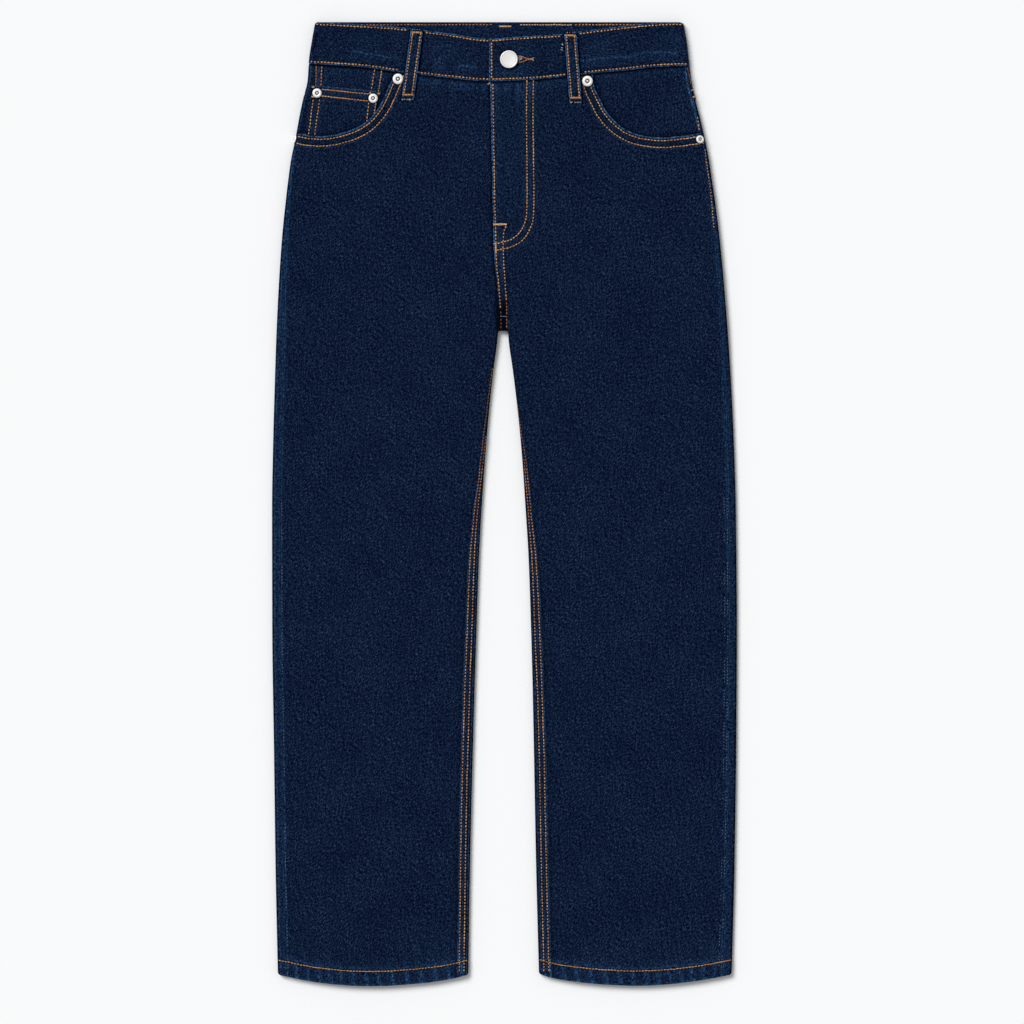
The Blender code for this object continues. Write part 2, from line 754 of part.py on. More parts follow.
def turned(name, profile, steps, place, tilt=0.0, swing=0.0):
    """Round metal piece, turned about its own Z axis, then tilted and swung in radians."""
    mesh = bpy.data.meshes.new(name)
    points = [(radius * MM, 0.0, z * MM) for radius, z in profile[1:]]
    mesh.from_pydata(points, [(i, i + 1) for i in range(len(points) - 1)], [])
    thing = finish(name, mesh, STEEL, metallic=1.0, roughness=0.35)
    screw = thing.modifiers.new("turn", "SCREW")
    screw.steps = steps
    screw.render_steps = steps
    screw.use_merge_vertices = True
    screw.merge_threshold = MERGE * MM
    screw.use_smooth_shade = True
    thing.location = [value * MM for value in place]
    thing.rotation_euler = (0.0, tilt, swing)
    return thing


def mouth_outline(side):
    """Outline to cut from a front for its pocket mouth."""
    edge_x, edge_y = mouth_edge(side)
    past = outer_edge(side, edge_y[-1]) + side * CUT_PAST
    outline = [(edge_x[0], MOUTH_CUT_TOP_Y)] + list(zip(edge_x, edge_y))
    return outline + [(past, edge_y[-1]), (past, MOUTH_CUT_TOP_Y)]


def make_panels():
    for name, side in SIDES.items():
        front = wall("front_" + name, front_panel(side, 0), front_panel(side, WALL))
        cutter = prism("mouth_cutter_" + name, mouth_outline(side), CUT_LOW_Z, CUT_HIGH_Z)
        cut(front, cutter)
        wall("back_" + name, back_panel(side, 0), back_panel(side, WALL))
        wall("yoke_" + name, yoke_panel(side, 0), yoke_panel(side, WALL))
        wall("pocket_facing_" + name, facing(side, 0), facing(side, THIN_WALL))
        wall("back_pocket_" + name, back_pocket(side, 0), back_pocket(side, WALL))
    wall("coin_pocket", coin_pocket(0), coin_pocket(THIN_WALL))


def make_waist():
    band = wall("waistband", waistband(0), waistband(BAND_WALL))
    half = BUTTONHOLE["wide"] / 2
    low, high = BUTTON_Y - half, BUTTON_Y + half
    start, end = BUTTONHOLE["from_x"], BUTTONHOLE["to_x"]
    slot = [(start, low), (end, low), (end, high), (start, high)]
    top = 2 * BAND_FOLD + float(rise(BUTTON_Y))
    cut(band, prism("buttonhole_cutter", slot, top + GAP / 2, CUT_HIGH_Z))
    seat = top + LAP_LIFT + GAP
    turned("button", BUTTON_PROFILE, BUTTON_STEPS, (BUTTON_X, BUTTON_Y, seat))
    for name, side in SIDES.items():
        wall("belt_loop_front_" + name, loop_front(side, 0), loop_front(side, LOOP_WALL))
        wall("belt_loop_side_" + name, loop_side(side, 0), loop_side(side, LOOP_WALL))
    wall("belt_loop_back", loop_back(0), loop_back(LOOP_WALL))


def rivet_profile(radius):
    return RIVET_PROFILE[:1] + tuple((share * radius, z) for share, z in RIVET_PROFILE[1:])


def make_rivets():
    for name, x, y, radius, drop in FLAT_RIVETS[1:]:
        place = (x, y, 2 * FOLD + CROWN + GAP - drop + float(rise(y)))
        turned(name, rivet_profile(radius), RIVET_STEPS, place)
    for name, side, inset, y, radius, tilt in SIDE_RIVETS[1:]:
        tilt = math.radians(tilt)
        near = outer_edge(side, y + SLOPE_REACH) - outer_edge(side, y - SLOPE_REACH)
        slope = float(near) / (2 * SLOPE_REACH)
        up = (FOLD + GAP + (inset - FOLD) * math.sin(tilt)) / math.cos(tilt)
        place = (float(outer_edge(side, y)) - side * inset, y, float(rise(y)) + FOLD + up)
        turned(name, rivet_profile(radius), RIVET_STEPS, place, side * tilt, -math.atan(slope))


def main():
    for thing in list(bpy.data.objects):
        bpy.data.objects.remove(thing)
    make_panels()
    make_waist()
    make_rivets()


main()
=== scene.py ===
import math

import bpy
import numpy as np
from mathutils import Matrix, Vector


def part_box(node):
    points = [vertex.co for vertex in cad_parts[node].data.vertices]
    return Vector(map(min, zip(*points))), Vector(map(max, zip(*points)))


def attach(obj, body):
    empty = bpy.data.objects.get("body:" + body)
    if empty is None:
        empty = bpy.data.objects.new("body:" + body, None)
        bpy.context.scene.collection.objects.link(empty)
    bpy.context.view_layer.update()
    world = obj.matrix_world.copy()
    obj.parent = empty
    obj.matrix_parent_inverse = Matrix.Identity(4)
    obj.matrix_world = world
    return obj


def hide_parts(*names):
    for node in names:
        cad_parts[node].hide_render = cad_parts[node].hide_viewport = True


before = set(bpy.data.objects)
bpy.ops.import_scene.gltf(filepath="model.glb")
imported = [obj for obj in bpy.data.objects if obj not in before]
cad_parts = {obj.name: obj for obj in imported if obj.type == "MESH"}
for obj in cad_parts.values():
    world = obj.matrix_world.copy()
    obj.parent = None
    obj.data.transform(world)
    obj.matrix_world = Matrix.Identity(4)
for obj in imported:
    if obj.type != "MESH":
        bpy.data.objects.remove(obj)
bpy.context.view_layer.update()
mm = 0.001
left, right = 1, -1  # the wearer's
sideName = {left: "left", right: "right"}
rng = np.random.default_rng(11)
farAway = 1000.0  # added to the distances kept on the points, so that a piece without one reads as far off

# Sizes below are in millimetres, in the part's own frame
cloth = {
    "wall": 1.3, "thinWall": 1.0, "bandWall": 3.0, "loopWall": 1.6,
    "gap": 0.3, "fold": 3.0, "bandFold": 3.3, "edgeRadius": 0.6,
    "crown": 1.2, "drape": 0.32, "seamY": 462.0, "crotchY": 181.6, "centreX": -1.05,
    "hipsEnd": 182.2, "legsStart": 181.1,
    "hemY": -493.0, "hemHeight": 17.3, "hemCorner": 3.0, "yokeSideY": 430.0, "yokeCentreY": 398.0,
}
quarter = cloth["fold"] * math.pi / 2

outline = {
    "y": [506, 487.2, 466.2, 445.2, 424.2, 403.2, 382.2, 361.2, 340.2, 319.2, 277.2, 235.2, 182.7, 119.7, 56.7,
          -6.3, -132.3, -258.3, -384.3, -506],
    "right": [-198.2, -201.6, -204.8, -206.2, -211.2, -215.5, -219.3, -223.7, -226.6, -229.1, -233.3, -236.2,
          -238.8, -241, -242.7, -243.7, -243.5, -241.7, -240, -237.3],
    "left": [187.6, 191.1, 193.6, 196.1, 201, 206.3, 211.1, 215.3, 218.4, 221.5, 226.6, 230.7, 234.9, 238.9,
          241.7, 243.5, 244.6, 243.9, 242.1, 238.8],
}
innerLeg = {
    "y": [181.2, 170, 141.8, 105, 54, -13.7, -53.6, -134.4, -203.7, -384.3, -506],
    "right": [-6.2, -7.2, -11, -15, -19.4, -24.1, -26.2, -29, -31.2, -35.8, -37.7],
    "left": [4.2, 5, 9, 13.5, 18.6, 23.2, 25.7, 28.5, 30.3, 33.8, 37.1],
}
outseamInset = {
    "y": [462, 386, 345, 305, 213, 133, -506],
    "right": [0.0, 0.3, 2.2, 4.2, 7.2, 8.9, 9.8],
    "left": [2.6, 3.4, 3.6, 4.0, 6.0, 7.6, 10.0],
}
inseamInset = {
    "y": [181.2, 142, 78, 40, -88, -225, -506],
    "right": [0, 0.3, 0.6, 1.0, 2.4, 2.4, 2.4],
    "left": [0, 0, 0, 0.4, 0.7, 4.2, 4.4],
}
waistTop = {
    "x": [-198.5, -170, -148, -116, -96.6, -82, -62, -13.7, 9, 29.4, 56, 65.1, 102.9, 168, 189],
    "y": [505.8, 504.2, 503, 500.7, 498.7, 496.7, 494.3, 488.1, 489.7, 491, 492.9, 493.8, 498.6, 505, 505.5],
}
waistSeam = {
    "x": [-203.7, -148.1, -112, -70.4, -56.7, -13.7, 23.1, 65.1, 102.9, 132, 151.2, 179, 192],
    "y": [462, 458.4, 453.4, 448.3, 446.8, 443.4, 444.6, 448.6, 452.9, 455.4, 457.8, 459.4, 459.7],
}
hemLine = {
    "x": [-237.3, -228.4, -213.7, -199, -184.3, -169.6, -154.9, -140.2, -125.5, -110.8, -96.1, -81.4, -66.7,
          -52, -37.8, 36.8, 48.8, 59.3, 74, 88.7, 103.4, 118.1, 132.8, 147.5, 162.2, 176.9, 191.6, 206.3, 221,
          239.4],
    "y": [-494.2, -496, -499.1, -501.7, -503.6, -505, -505.9, -506.1, -505.9, -505.1, -503.9, -502.6, -500.6,
          -497.9, -494.8, -494, -497.1, -499.2, -501.4, -503, -504.3, -505.1, -505.7, -505.6, -504.9, -503.8,
          -502.1, -500.1, -497.5, -494],
}
flyEdge = {
    "y": [462, 371.7, 296.1, 272, 259, 248, 235, 225, 218, 203, 181.6],
    "x": [-14.7, -13.1, -11.6, -11.1, -10.4, -9.5, -7.8, -7, -6.5, -6, -5.9],
    "lap": [4, 4, 4, 4, 4, 4, 4, 4, 4, -0.15, -0.15],
}
flyWidth = {"y": [462, 316, 291, 275, 262, 181.6], "x": [42, 42, 34, 20, 6, 6]}
restRise = {"y": [-506, 120, 196, 392, 412, 506], "z": [0, 0, 1.65, 1.65, 2.2, 2.2]}
mouthEdge = {  # from above the waist seam to the side fold
    left: [(93.2, 462), (93.4, 448.4), (94.5, 438.9), (100.4, 425.5), (106.8, 412.9), (115.4, 402.6),
           (125.1, 394.6), (135.8, 389.2), (148.6, 385.9), (165.7, 384.4), (181.8, 385.6), (200, 388),
           (209, 389.4)],
    right: [(-113.6, 462), (-115.6, 451), (-120.2, 439.4), (-125.1, 427.9), (-131, 416.6), (-139, 406.2),
            (-149.2, 397.9), (-160.4, 392.3), (-171.2, 389), (-181.9, 386.7), (-192.6, 385.9), (-203.3, 386.5),
            (-217, 389.2)],
}
loopEnds = {  # middle of each front belt loop at its top and at its bottom
    left: ((69.6, 494.1), (75.1, 422.1)), right: ((-91.4, 497.2), (-100.8, 425.2)),
}
legRows = {  # how far the two inseam rows lie in from the leg's edge
    "y": [142, 120, 92, 75, 40, 24, 3, -13, -29, -51, -89, -143, -207, -290, -416, -506],
    "rightNear": [0.2, 0.4, 0.6, 1.0, 2.1, 2.7, 3.5, 4.1, 4.5, 4.7, 4.8, 4.8, 5.1, 5.2, 4.7, 4.6],
    "rightFar": [1.4, 1.9, 2.5, 3.3, 4.5, 4.9, 6.7, 7.5, 7.9, 9.0, 9.4, 9.6, 10.2, 10.2, 9.6, 9.4],
    "leftNear": [0.1, 0.2, 0.3, 0.6, 2.1, 2.1, 2.8, 2.8, 2.9, 3.5, 3.8, 4.1, 5.25, 5.7, 5.6, 5.2],
    "leftFar": [0.5, 0.7, 1.0, 1.5, 4.1, 4.5, 5.2, 5.6, 6.2, 7.3, 8.4, 9.1, 9.9, 10.8, 10.8, 10.4],
}


# Curves, folds and reliefs that several pieces share

def smoothCurve(xs, ys, at):
    # piecewise cubic whose slopes are harmonic means of the neighbouring rises
    order = np.argsort(xs)
    xs, ys = np.asarray(xs, float)[order], np.asarray(ys, float)[order]
    at = np.clip(at, xs[0], xs[-1])
    rises = np.diff(ys) / np.diff(xs)
    slopes = np.concatenate([rises[:1], np.zeros(len(xs) - 2), rises[-1:]])
    same = rises[:-1] * rises[1:] > 0
    slopes[1:-1] = np.where(same, 2 * rises[:-1] * rises[1:] / np.where(same, rises[:-1] + rises[1:], 1), 0)
    i = np.clip(np.searchsorted(xs, at) - 1, 0, len(xs) - 2)
    h = xs[i + 1] - xs[i]
    s = (at - xs[i]) / h
    return ((1 + 2 * s) * (1 - s) ** 2 * ys[i] + s * (1 - s) ** 2 * h * slopes[i]
            + s**2 * (3 - 2 * s) * ys[i + 1] - s**2 * (1 - s) * h * slopes[i + 1])


def read(table, name, at, key="y"):
    # a column of a table, read smoothly at any place
    return smoothCurve(table[key], table[name], np.asarray(at, float))


def unit(v):
    # a vector divided by its length
    return v / np.linalg.norm(v, axis=-1, keepdims=True)


def lengthAlong(path):
    # length along a path up to each of its points
    return np.concatenate([[0], np.cumsum(np.hypot(*np.diff(path, axis=0).T))])


def pointsAt(path, walk, at):
    # points at given lengths along a path
    return np.stack([np.interp(at, walk, path[:, k]) for k in (0, 1)], -1)


def ramp(value):
    # soft step from 0 to 1
    value = np.clip(value, 0.0, 1.0)
    return value**2 * (3 - 2 * value)


def bump(distance, width):
    # bell around a line
    return np.exp(-(distance / width) ** 2)


def outerEdge(side, y):
    # how far out the side fold lies, seen from above
    return read(outline, sideName[side], y)


def wrapLength(inset):
    # length round the fold's circle to a line that lies inset in from its edge
    f = cloth["fold"]
    onArc = f * np.arccos(np.clip(1 - inset / f, -1, 1))
    return np.where(inset < f, onArc, quarter + inset - f)


def foldAt(edge, outward, length, depth, radius=None):
    # a circle of the fold's radius, then straight on, at a depth below the surface
    f = radius or cloth["fold"]
    angle = np.clip(length, -f * math.pi / 2, f * math.pi / 2) / f
    run = np.maximum(np.abs(length) - f * math.pi / 2, 0)
    return edge - outward * (f - (f - depth) * np.cos(angle) + run), f + (f - depth) * np.sin(angle)


def foldHeight(inset):
    # height of the upper half of the fold's circle at a plan distance from its edge
    f = cloth["fold"]
    return f + np.sqrt(np.maximum(f**2 - np.maximum(f - inset, 0) ** 2, 0))


def rise(y):
    # how much higher the hips and the waist lie than the legs
    return read(restRise, "z", y)


def waistBow(x, yRow):
    # bends the rows near the waist so that they follow the waist seam
    return (read(waistSeam, "y", x, "x") - cloth["seamY"]) * ramp((yRow - 330) / 131)


def hemBow(x, yRow):
    # bends the rows near the hem so that they follow its lower edge
    return (read(hemLine, "y", x, "x") - cloth["hemY"]) * ramp((-380 - yRow) / 95)


def hemCut(yRow):
    # how far the rounded corners of a hem lie in from the leg's edges
    share = np.clip((cloth["hemY"] + cloth["hemCorner"] - yRow) / cloth["hemCorner"], 0, 1)
    return 0.8 * cloth["hemCorner"] * (1 - np.sqrt(1 - share**2))


def fellPlace(side, x, y):
    # place across the inseam's fell, scaled so that its two rows of stitches keep their places
    d = -side * (read(innerLeg, sideName[side], y) - x)
    near, far = read(legRows, sideName[side] + "Near", y), read(legRows, sideName[side] + "Far", y)
    first, second = frontSeams["fellRows"]
    return first + (d - near) * (second - first) / (far - near)


def yokeY(x):
    # the yoke seam, a shallow V
    share = np.clip(np.abs(x) / 205, 0, 1)
    return cloth["yokeCentreY"] + (cloth["yokeSideY"] - cloth["yokeCentreY"]) * share


def flyLift(x, y):
    # the wearer's left front lies one wall higher over the fly
    past = x - read(flyEdge, "x", y) - read(flyWidth, "x", y)
    return (cloth["wall"] + cloth["gap"]) * ramp((y - 190) / 13) * (1 - ramp(past / 9))


def smoothPath(points, count=60):
    # a cubic through given points, by length along them
    points = np.asarray(points, float)
    walk = lengthAlong(points)
    at = np.linspace(0, walk[-1], count)
    return np.stack([smoothCurve(walk, points[:, 0], at), smoothCurve(walk, points[:, 1], at)], -1)


def pathDistance(x, y, path):
    # plain distance from each point to the nearest point of a path
    steps = np.linspace(0, len(path) - 1, 3 * len(path))
    dense = pointsAt(path, np.arange(len(path)), steps)
    nearest = np.full(np.shape(x), 1e9)
    for px, py in dense:
        nearest = np.minimum(nearest, (x - px) ** 2 + (y - py) ** 2)
    return np.sqrt(nearest)


def mouthPath(side, out=0.0, count=120):
    # points along the mouth's edge, moved out over the front
    path = smoothPath(mouthEdge[side], count)
    along = unit(np.gradient(path, axis=0))
    return path + side * out * np.stack([along[:, 1], -along[:, 0]], -1)


def mouthDistance(side, x, y):
    # how far outside the pocket mouth, negative within it
    path = mouthPath(side)
    path = path[np.argsort(path[:, 0])]
    beyond = {"left": 999.0} if side == left else {"right": 999.0}
    outside = y < np.interp(x, path[:, 0], path[:, 1], **beyond)
    return np.where(outside, 1, -1) * pathDistance(x, y, path)


def drape(x, y):
    # slow swells of the cloth as it lies, a few tenths of a millimetre
    slow = np.sin(x / 41 + 1.3 + 0.5 * np.sin(y / 150)) * np.sin(y / 83 + 0.4)
    quick = 0.45 * np.sin(x / 19 - y / 57 + 0.7) + 0.35 * np.sin(x / 33 + y / 36)
    return cloth["drape"] * (slow + quick)


def crown(side, x, y):
    # a sine over the leg, and from the side fold up to the centre over the hips
    dOut = side * (outerEdge(side, y) - x)
    inner = np.where(y > cloth["crotchY"], cloth["centreX"], read(innerLeg, sideName[side], y))
    u = np.clip(dOut / (side * (outerEdge(side, y) - inner)), 0, 1)
    hip = ramp((y - 186) / 130)
    hips = np.sin(math.pi / 2 * u) * (1 - 0.25 * ramp((y - 440) / 22))
    return cloth["crown"] * ((1 - hip) * np.sin(math.pi * u) + hip * hips)


frontSeams = {
    "fellWidth": 9.4, "fellRaise": 0.55, "fellRows": (1.8, 7.2), "hemRaise": 0.9, "hemRow": 15.5,
    "mouthRows": (3.3, 10.4), "mouthRaise": 0.4, "groove": 0.28, "pucker": 0.17,
    "mouthTurn": {left: (172, 449), right: (-194, 449)}, "mouthReach": 70, "flyRow": 24.0, "flyPair": 6.9,
}


def seamPucker(y):
    # quick ripples down the outseam whose spacing swings slowly
    return 0.13 * np.sin(y / 1.35 + 3 * np.sin(y / 43))


def hemWaves(side, x, hUp):
    # uneven ripples round the hem that lean a little as they rise
    return np.sin(x / 2.1 + 1.9 * np.sin(x / 31) + 0.07 * hUp + side)


def frontRelief(side, x, y):
    # what the seams, rows and puckers add to the height of a front
    s = frontSeams
    dOut = side * (outerEdge(side, y) - x)
    inLeg = ramp((95 - y) / 50)
    m = fellPlace(side, x, y)
    n = dOut - read(outseamInset, sideName[side], y)
    hUp = y - read(hemLine, "y", x, "x")
    w = read(waistSeam, "y", x, "x") - y
    onBand = 1 - ramp((hUp - s["hemRow"] - 0.8) / 1.2)
    fell = s["fellRaise"] * ramp(m / 1.2) * ramp((s["fellWidth"] - m) / 1.4)
    fell = fell + s["pucker"] * np.sin(y / 1.15 + 2 * np.sin(y / 31)) * bump(m - 4.6, 2.6)
    fell = fell - s["groove"] * (bump(m - s["fellRows"][0], 0.7) + bump(m - s["fellRows"][1], 0.8))
    outSeam = 0.3 * np.exp(-np.abs(n) / 5) + seamPucker(y) * np.exp(-np.abs(n) / 4)
    waves = hemWaves(side, x, hUp)
    hem = (s["hemRaise"] + 0.34 * waves * ramp(hUp / 4)) * onBand
    hem = hem + 0.2 * waves * np.exp(-np.maximum(hUp - cloth["hemHeight"], 0) / 9) * (1 - onBand)
    hem = hem - 0.4 * bump(hUp - s["hemRow"], 1.1)
    q = mouthDistance(side, x, y)
    m0, m1 = s["mouthRows"]
    turnX, turnY = s["mouthTurn"][side]
    along = np.arctan2(turnY - y, -side * (x - turnX)) * s["mouthReach"]
    mouth = s["mouthRaise"] * ramp((m1 + 2 - q) / 2) + 0.12 * np.sin(along / 1.3) * bump(q - 6, 3.5)
    mouth = mouth - s["groove"] * (bump(q - m0, 0.8) + bump(q - m1, 0.9))
    mouth = mouth + 0.1 * np.sin(along / 2.1 + 1) * np.exp(-np.maximum(q - m1, 0) / 6) * (q > m1)
    waist = 0.16 * np.exp(-np.abs(w) / 9) * (np.sin(x / 2.1 + 2 * np.sin(x / 17)) + 0.6 * np.sin(x / 4.3))
    waist = waist - 0.25 * np.exp(-np.abs(w) / 3)
    past = x - s["flyRow"]
    fly = -s["groove"] * (bump(past, 0.9) + bump(past - s["flyPair"], 0.9)) * ramp((y - 300) / 12)
    fly = fly + 0.12 * np.sin(y / 1.5) * bump(past - 3.4, 2.4) * ramp((y - 285) / 20)
    fly = fly if side == left else 0 * x
    return inLeg * fell + outSeam + hem + mouth + waist + fly + drape(x, y) + crown(side, x, y)


def frontTop(side, x, y):
    # height of a front's upper face at a place seen from above
    x, y = np.asarray(x, float), np.asarray(y, float)
    dOut = side * (outerEdge(side, y) - x)
    dIn = np.where(y > cloth["crotchY"], 99, -side * (read(innerLeg, sideName[side], y) - x))
    z = foldHeight(dOut) + foldHeight(dIn) - 2 * cloth["fold"] + rise(y) + frontRelief(side, x, y)
    return z + (flyLift(x, y) if side == left else 0)


def edgeDip(distance, radius=None):
    # quarter round from the edge of the cloth to its face
    r = radius or cloth["edgeRadius"]
    return r * (1 - np.sqrt(np.maximum(1 - np.maximum(1 - distance / r, 0) ** 2, 0)))


# Meshes

edgeSteps = np.array([0, 0.12, 0.35, 0.7, 1.2, 1.9, 2.8, 4.0])


def spread(start, end, step, steps=edgeSteps):
    # places from start to end, close together at both ends
    sign = 1 if end > start else -1
    first, last = start + sign * steps, end - sign * steps[::-1]
    count = max(int(abs(last[0] - first[-1]) / step), 2)
    return np.concatenate([first, np.linspace(first[-1], last[0], count + 1)[1:-1], last])


def edgeGap(places):
    # distance from each place to the nearer end
    return np.minimum(np.abs(places - places[0]), np.abs(places - places[-1]))


def paint(piece, fields):
    # one number per point for each named field
    for label, values in fields.items():
        layer = piece.data.attributes.get(label) or piece.data.attributes.new(label, "FLOAT", "POINT")
        layer.data.foreach_set("value", np.asarray(values, np.float32).ravel())


def linked(name, data):
    # a new object in the scene
    piece = bpy.data.objects.new(name, data)
    bpy.context.scene.collection.objects.link(piece)
    return piece


def faceMesh(name, points, faces, material):
    # smooth mesh from points in millimetres and faces that all have the same number of corners
    mesh = bpy.data.meshes.new(name)
    mesh.vertices.add(len(points))
    mesh.vertices.foreach_set("co", (points * mm).ravel())
    mesh.loops.add(faces.size)
    mesh.loops.foreach_set("vertex_index", faces.ravel().astype(np.int32))
    mesh.polygons.add(len(faces))
    mesh.polygons.foreach_set("loop_start", np.arange(0, faces.size, faces.shape[1], dtype=np.int32))
    mesh.polygons.foreach_set("use_smooth", np.ones(len(faces), bool))
    mesh.update(calc_edges=True)
    mesh.materials.append(material)
    return mesh


def wallMesh(name, outer, inner, uv, fields, material):
    # two grids of points with their four edges closed, as one mesh with the cloth's own map
    rows, columns = outer.shape[:2]
    points = np.concatenate([outer.reshape(-1, 3), inner.reshape(-1, 3)])
    index = np.arange(rows * columns).reshape(rows, columns)
    a, b, c, d = index[:-1, :-1], index[:-1, 1:], index[1:, 1:], index[1:, :-1]
    top = np.stack([a, b, c, d], -1).reshape(-1, 4)
    low = top[:, ::-1] + rows * columns
    ring = np.concatenate([index[0], index[1:, -1], index[-1, -2::-1], index[-2:0:-1, 0]])
    following = np.roll(ring, -1)
    rim = np.stack([ring, ring + rows * columns, following + rows * columns, following], -1)
    faces = np.concatenate([top, low, rim])
    corners = points[faces]
    normals = np.cross(corners[:, 2] - corners[:, 0], corners[:, 3] - corners[:, 1])
    if (normals * corners.mean(1)).sum() < 0:
        faces = faces[:, ::-1].copy()
    mesh = faceMesh(name, points, faces, material)
    layer = mesh.uv_layers.new(name="cloth")
    both = np.concatenate([uv.reshape(-1, 2), uv.reshape(-1, 2)])
    layer.data.foreach_set("uv", both[faces.ravel()].ravel())
    piece = linked(name, mesh)
    blank = np.zeros((rows, columns))
    paint(piece, {"inside": np.concatenate([blank.ravel(), blank.ravel() + 1])})
    for label, values in fields.items():
        far, innerSkin = (0, 0) if label == "wearShadeAndHighlight" else (farAway, 1)
        paint(piece, {label: np.concatenate([(values + blank + far).ravel(), (blank + innerSkin).ravel()])})
    return piece


def layCloth(piece, nodes):
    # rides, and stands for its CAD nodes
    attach(piece, "root")
    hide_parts(*nodes)


# Materials

class Nodes:
    # short way to add and join shader nodes
    def __init__(self, name):
        self.material = bpy.data.materials.new(name)
        self.material.use_nodes = True
        self.tree = self.material.node_tree
        self.shader = self.tree.nodes["Principled BSDF"]

    def put(self, kind, values=None, **settings):
        # a node with its settings; each input gets a value or a link
        node = self.tree.nodes.new(kind)
        for key, value in settings.items():
            setattr(node, key, value)
        for key, value in (values or {}).items():
            if isinstance(value, bpy.types.NodeSocket):
                self.tree.links.new(value, node.inputs[key])
            else:
                node.inputs[key].default_value = value
        return node

    def math(self, operation, a, b=0.5):
        # one sum of two values
        return self.put("ShaderNodeMath", {0: a, 1: b}, operation=operation).outputs[0]

    def mix(self, share, a, b, blend="MIX"):
        # from colour a to colour b by a share
        node = self.put("ShaderNodeMix", data_type="RGBA", blend_type=blend)
        for socket, value in ((node.inputs[0], share), (node.inputs[6], a), (node.inputs[7], b)):
            if isinstance(value, bpy.types.NodeSocket):
                self.tree.links.new(value, socket)
            else:
                socket.default_value = value
        return node.outputs[2]

    def ramp(self, value, stops, interpolation="LINEAR"):
        # colours at places from 0 to 1
        node = self.put("ShaderNodeValToRGB", {0: value})
        node.color_ramp.interpolation = interpolation
        while len(node.color_ramp.elements) < len(stops):
            node.color_ramp.elements.new(1.0)
        for element, (place, colour) in zip(node.color_ramp.elements, stops):
            element.position = place
            element.color = colour if len(colour) == 4 else (*colour, 1)
        return node.outputs[0]

    def noise(self, vector, scale, detail=2.0, roughness=0.5, distortion=0.0):
        # even noise from 0 to 1, so many to a unit of length
        values = {"Vector": vector, "Scale": scale, "Detail": detail, "Roughness": roughness,
                  "Distortion": distortion}
        return self.put("ShaderNodeTexNoise", values).outputs[0]

    def mapped(self, vector, turn=0.0, scale=(1, 1, 1), shift=(0, 0, 0)):
        # places turned about Z and measured in the given lengths
        values = {"Vector": vector, "Rotation": (0, 0, turn), "Scale": scale, "Location": shift}
        return self.put("ShaderNodeMapping", values, vector_type="TEXTURE").outputs[0]

    def attribute(self, name):
        # a number kept on the points
        return self.put("ShaderNodeAttribute", attribute_name=name).outputs["Fac"]


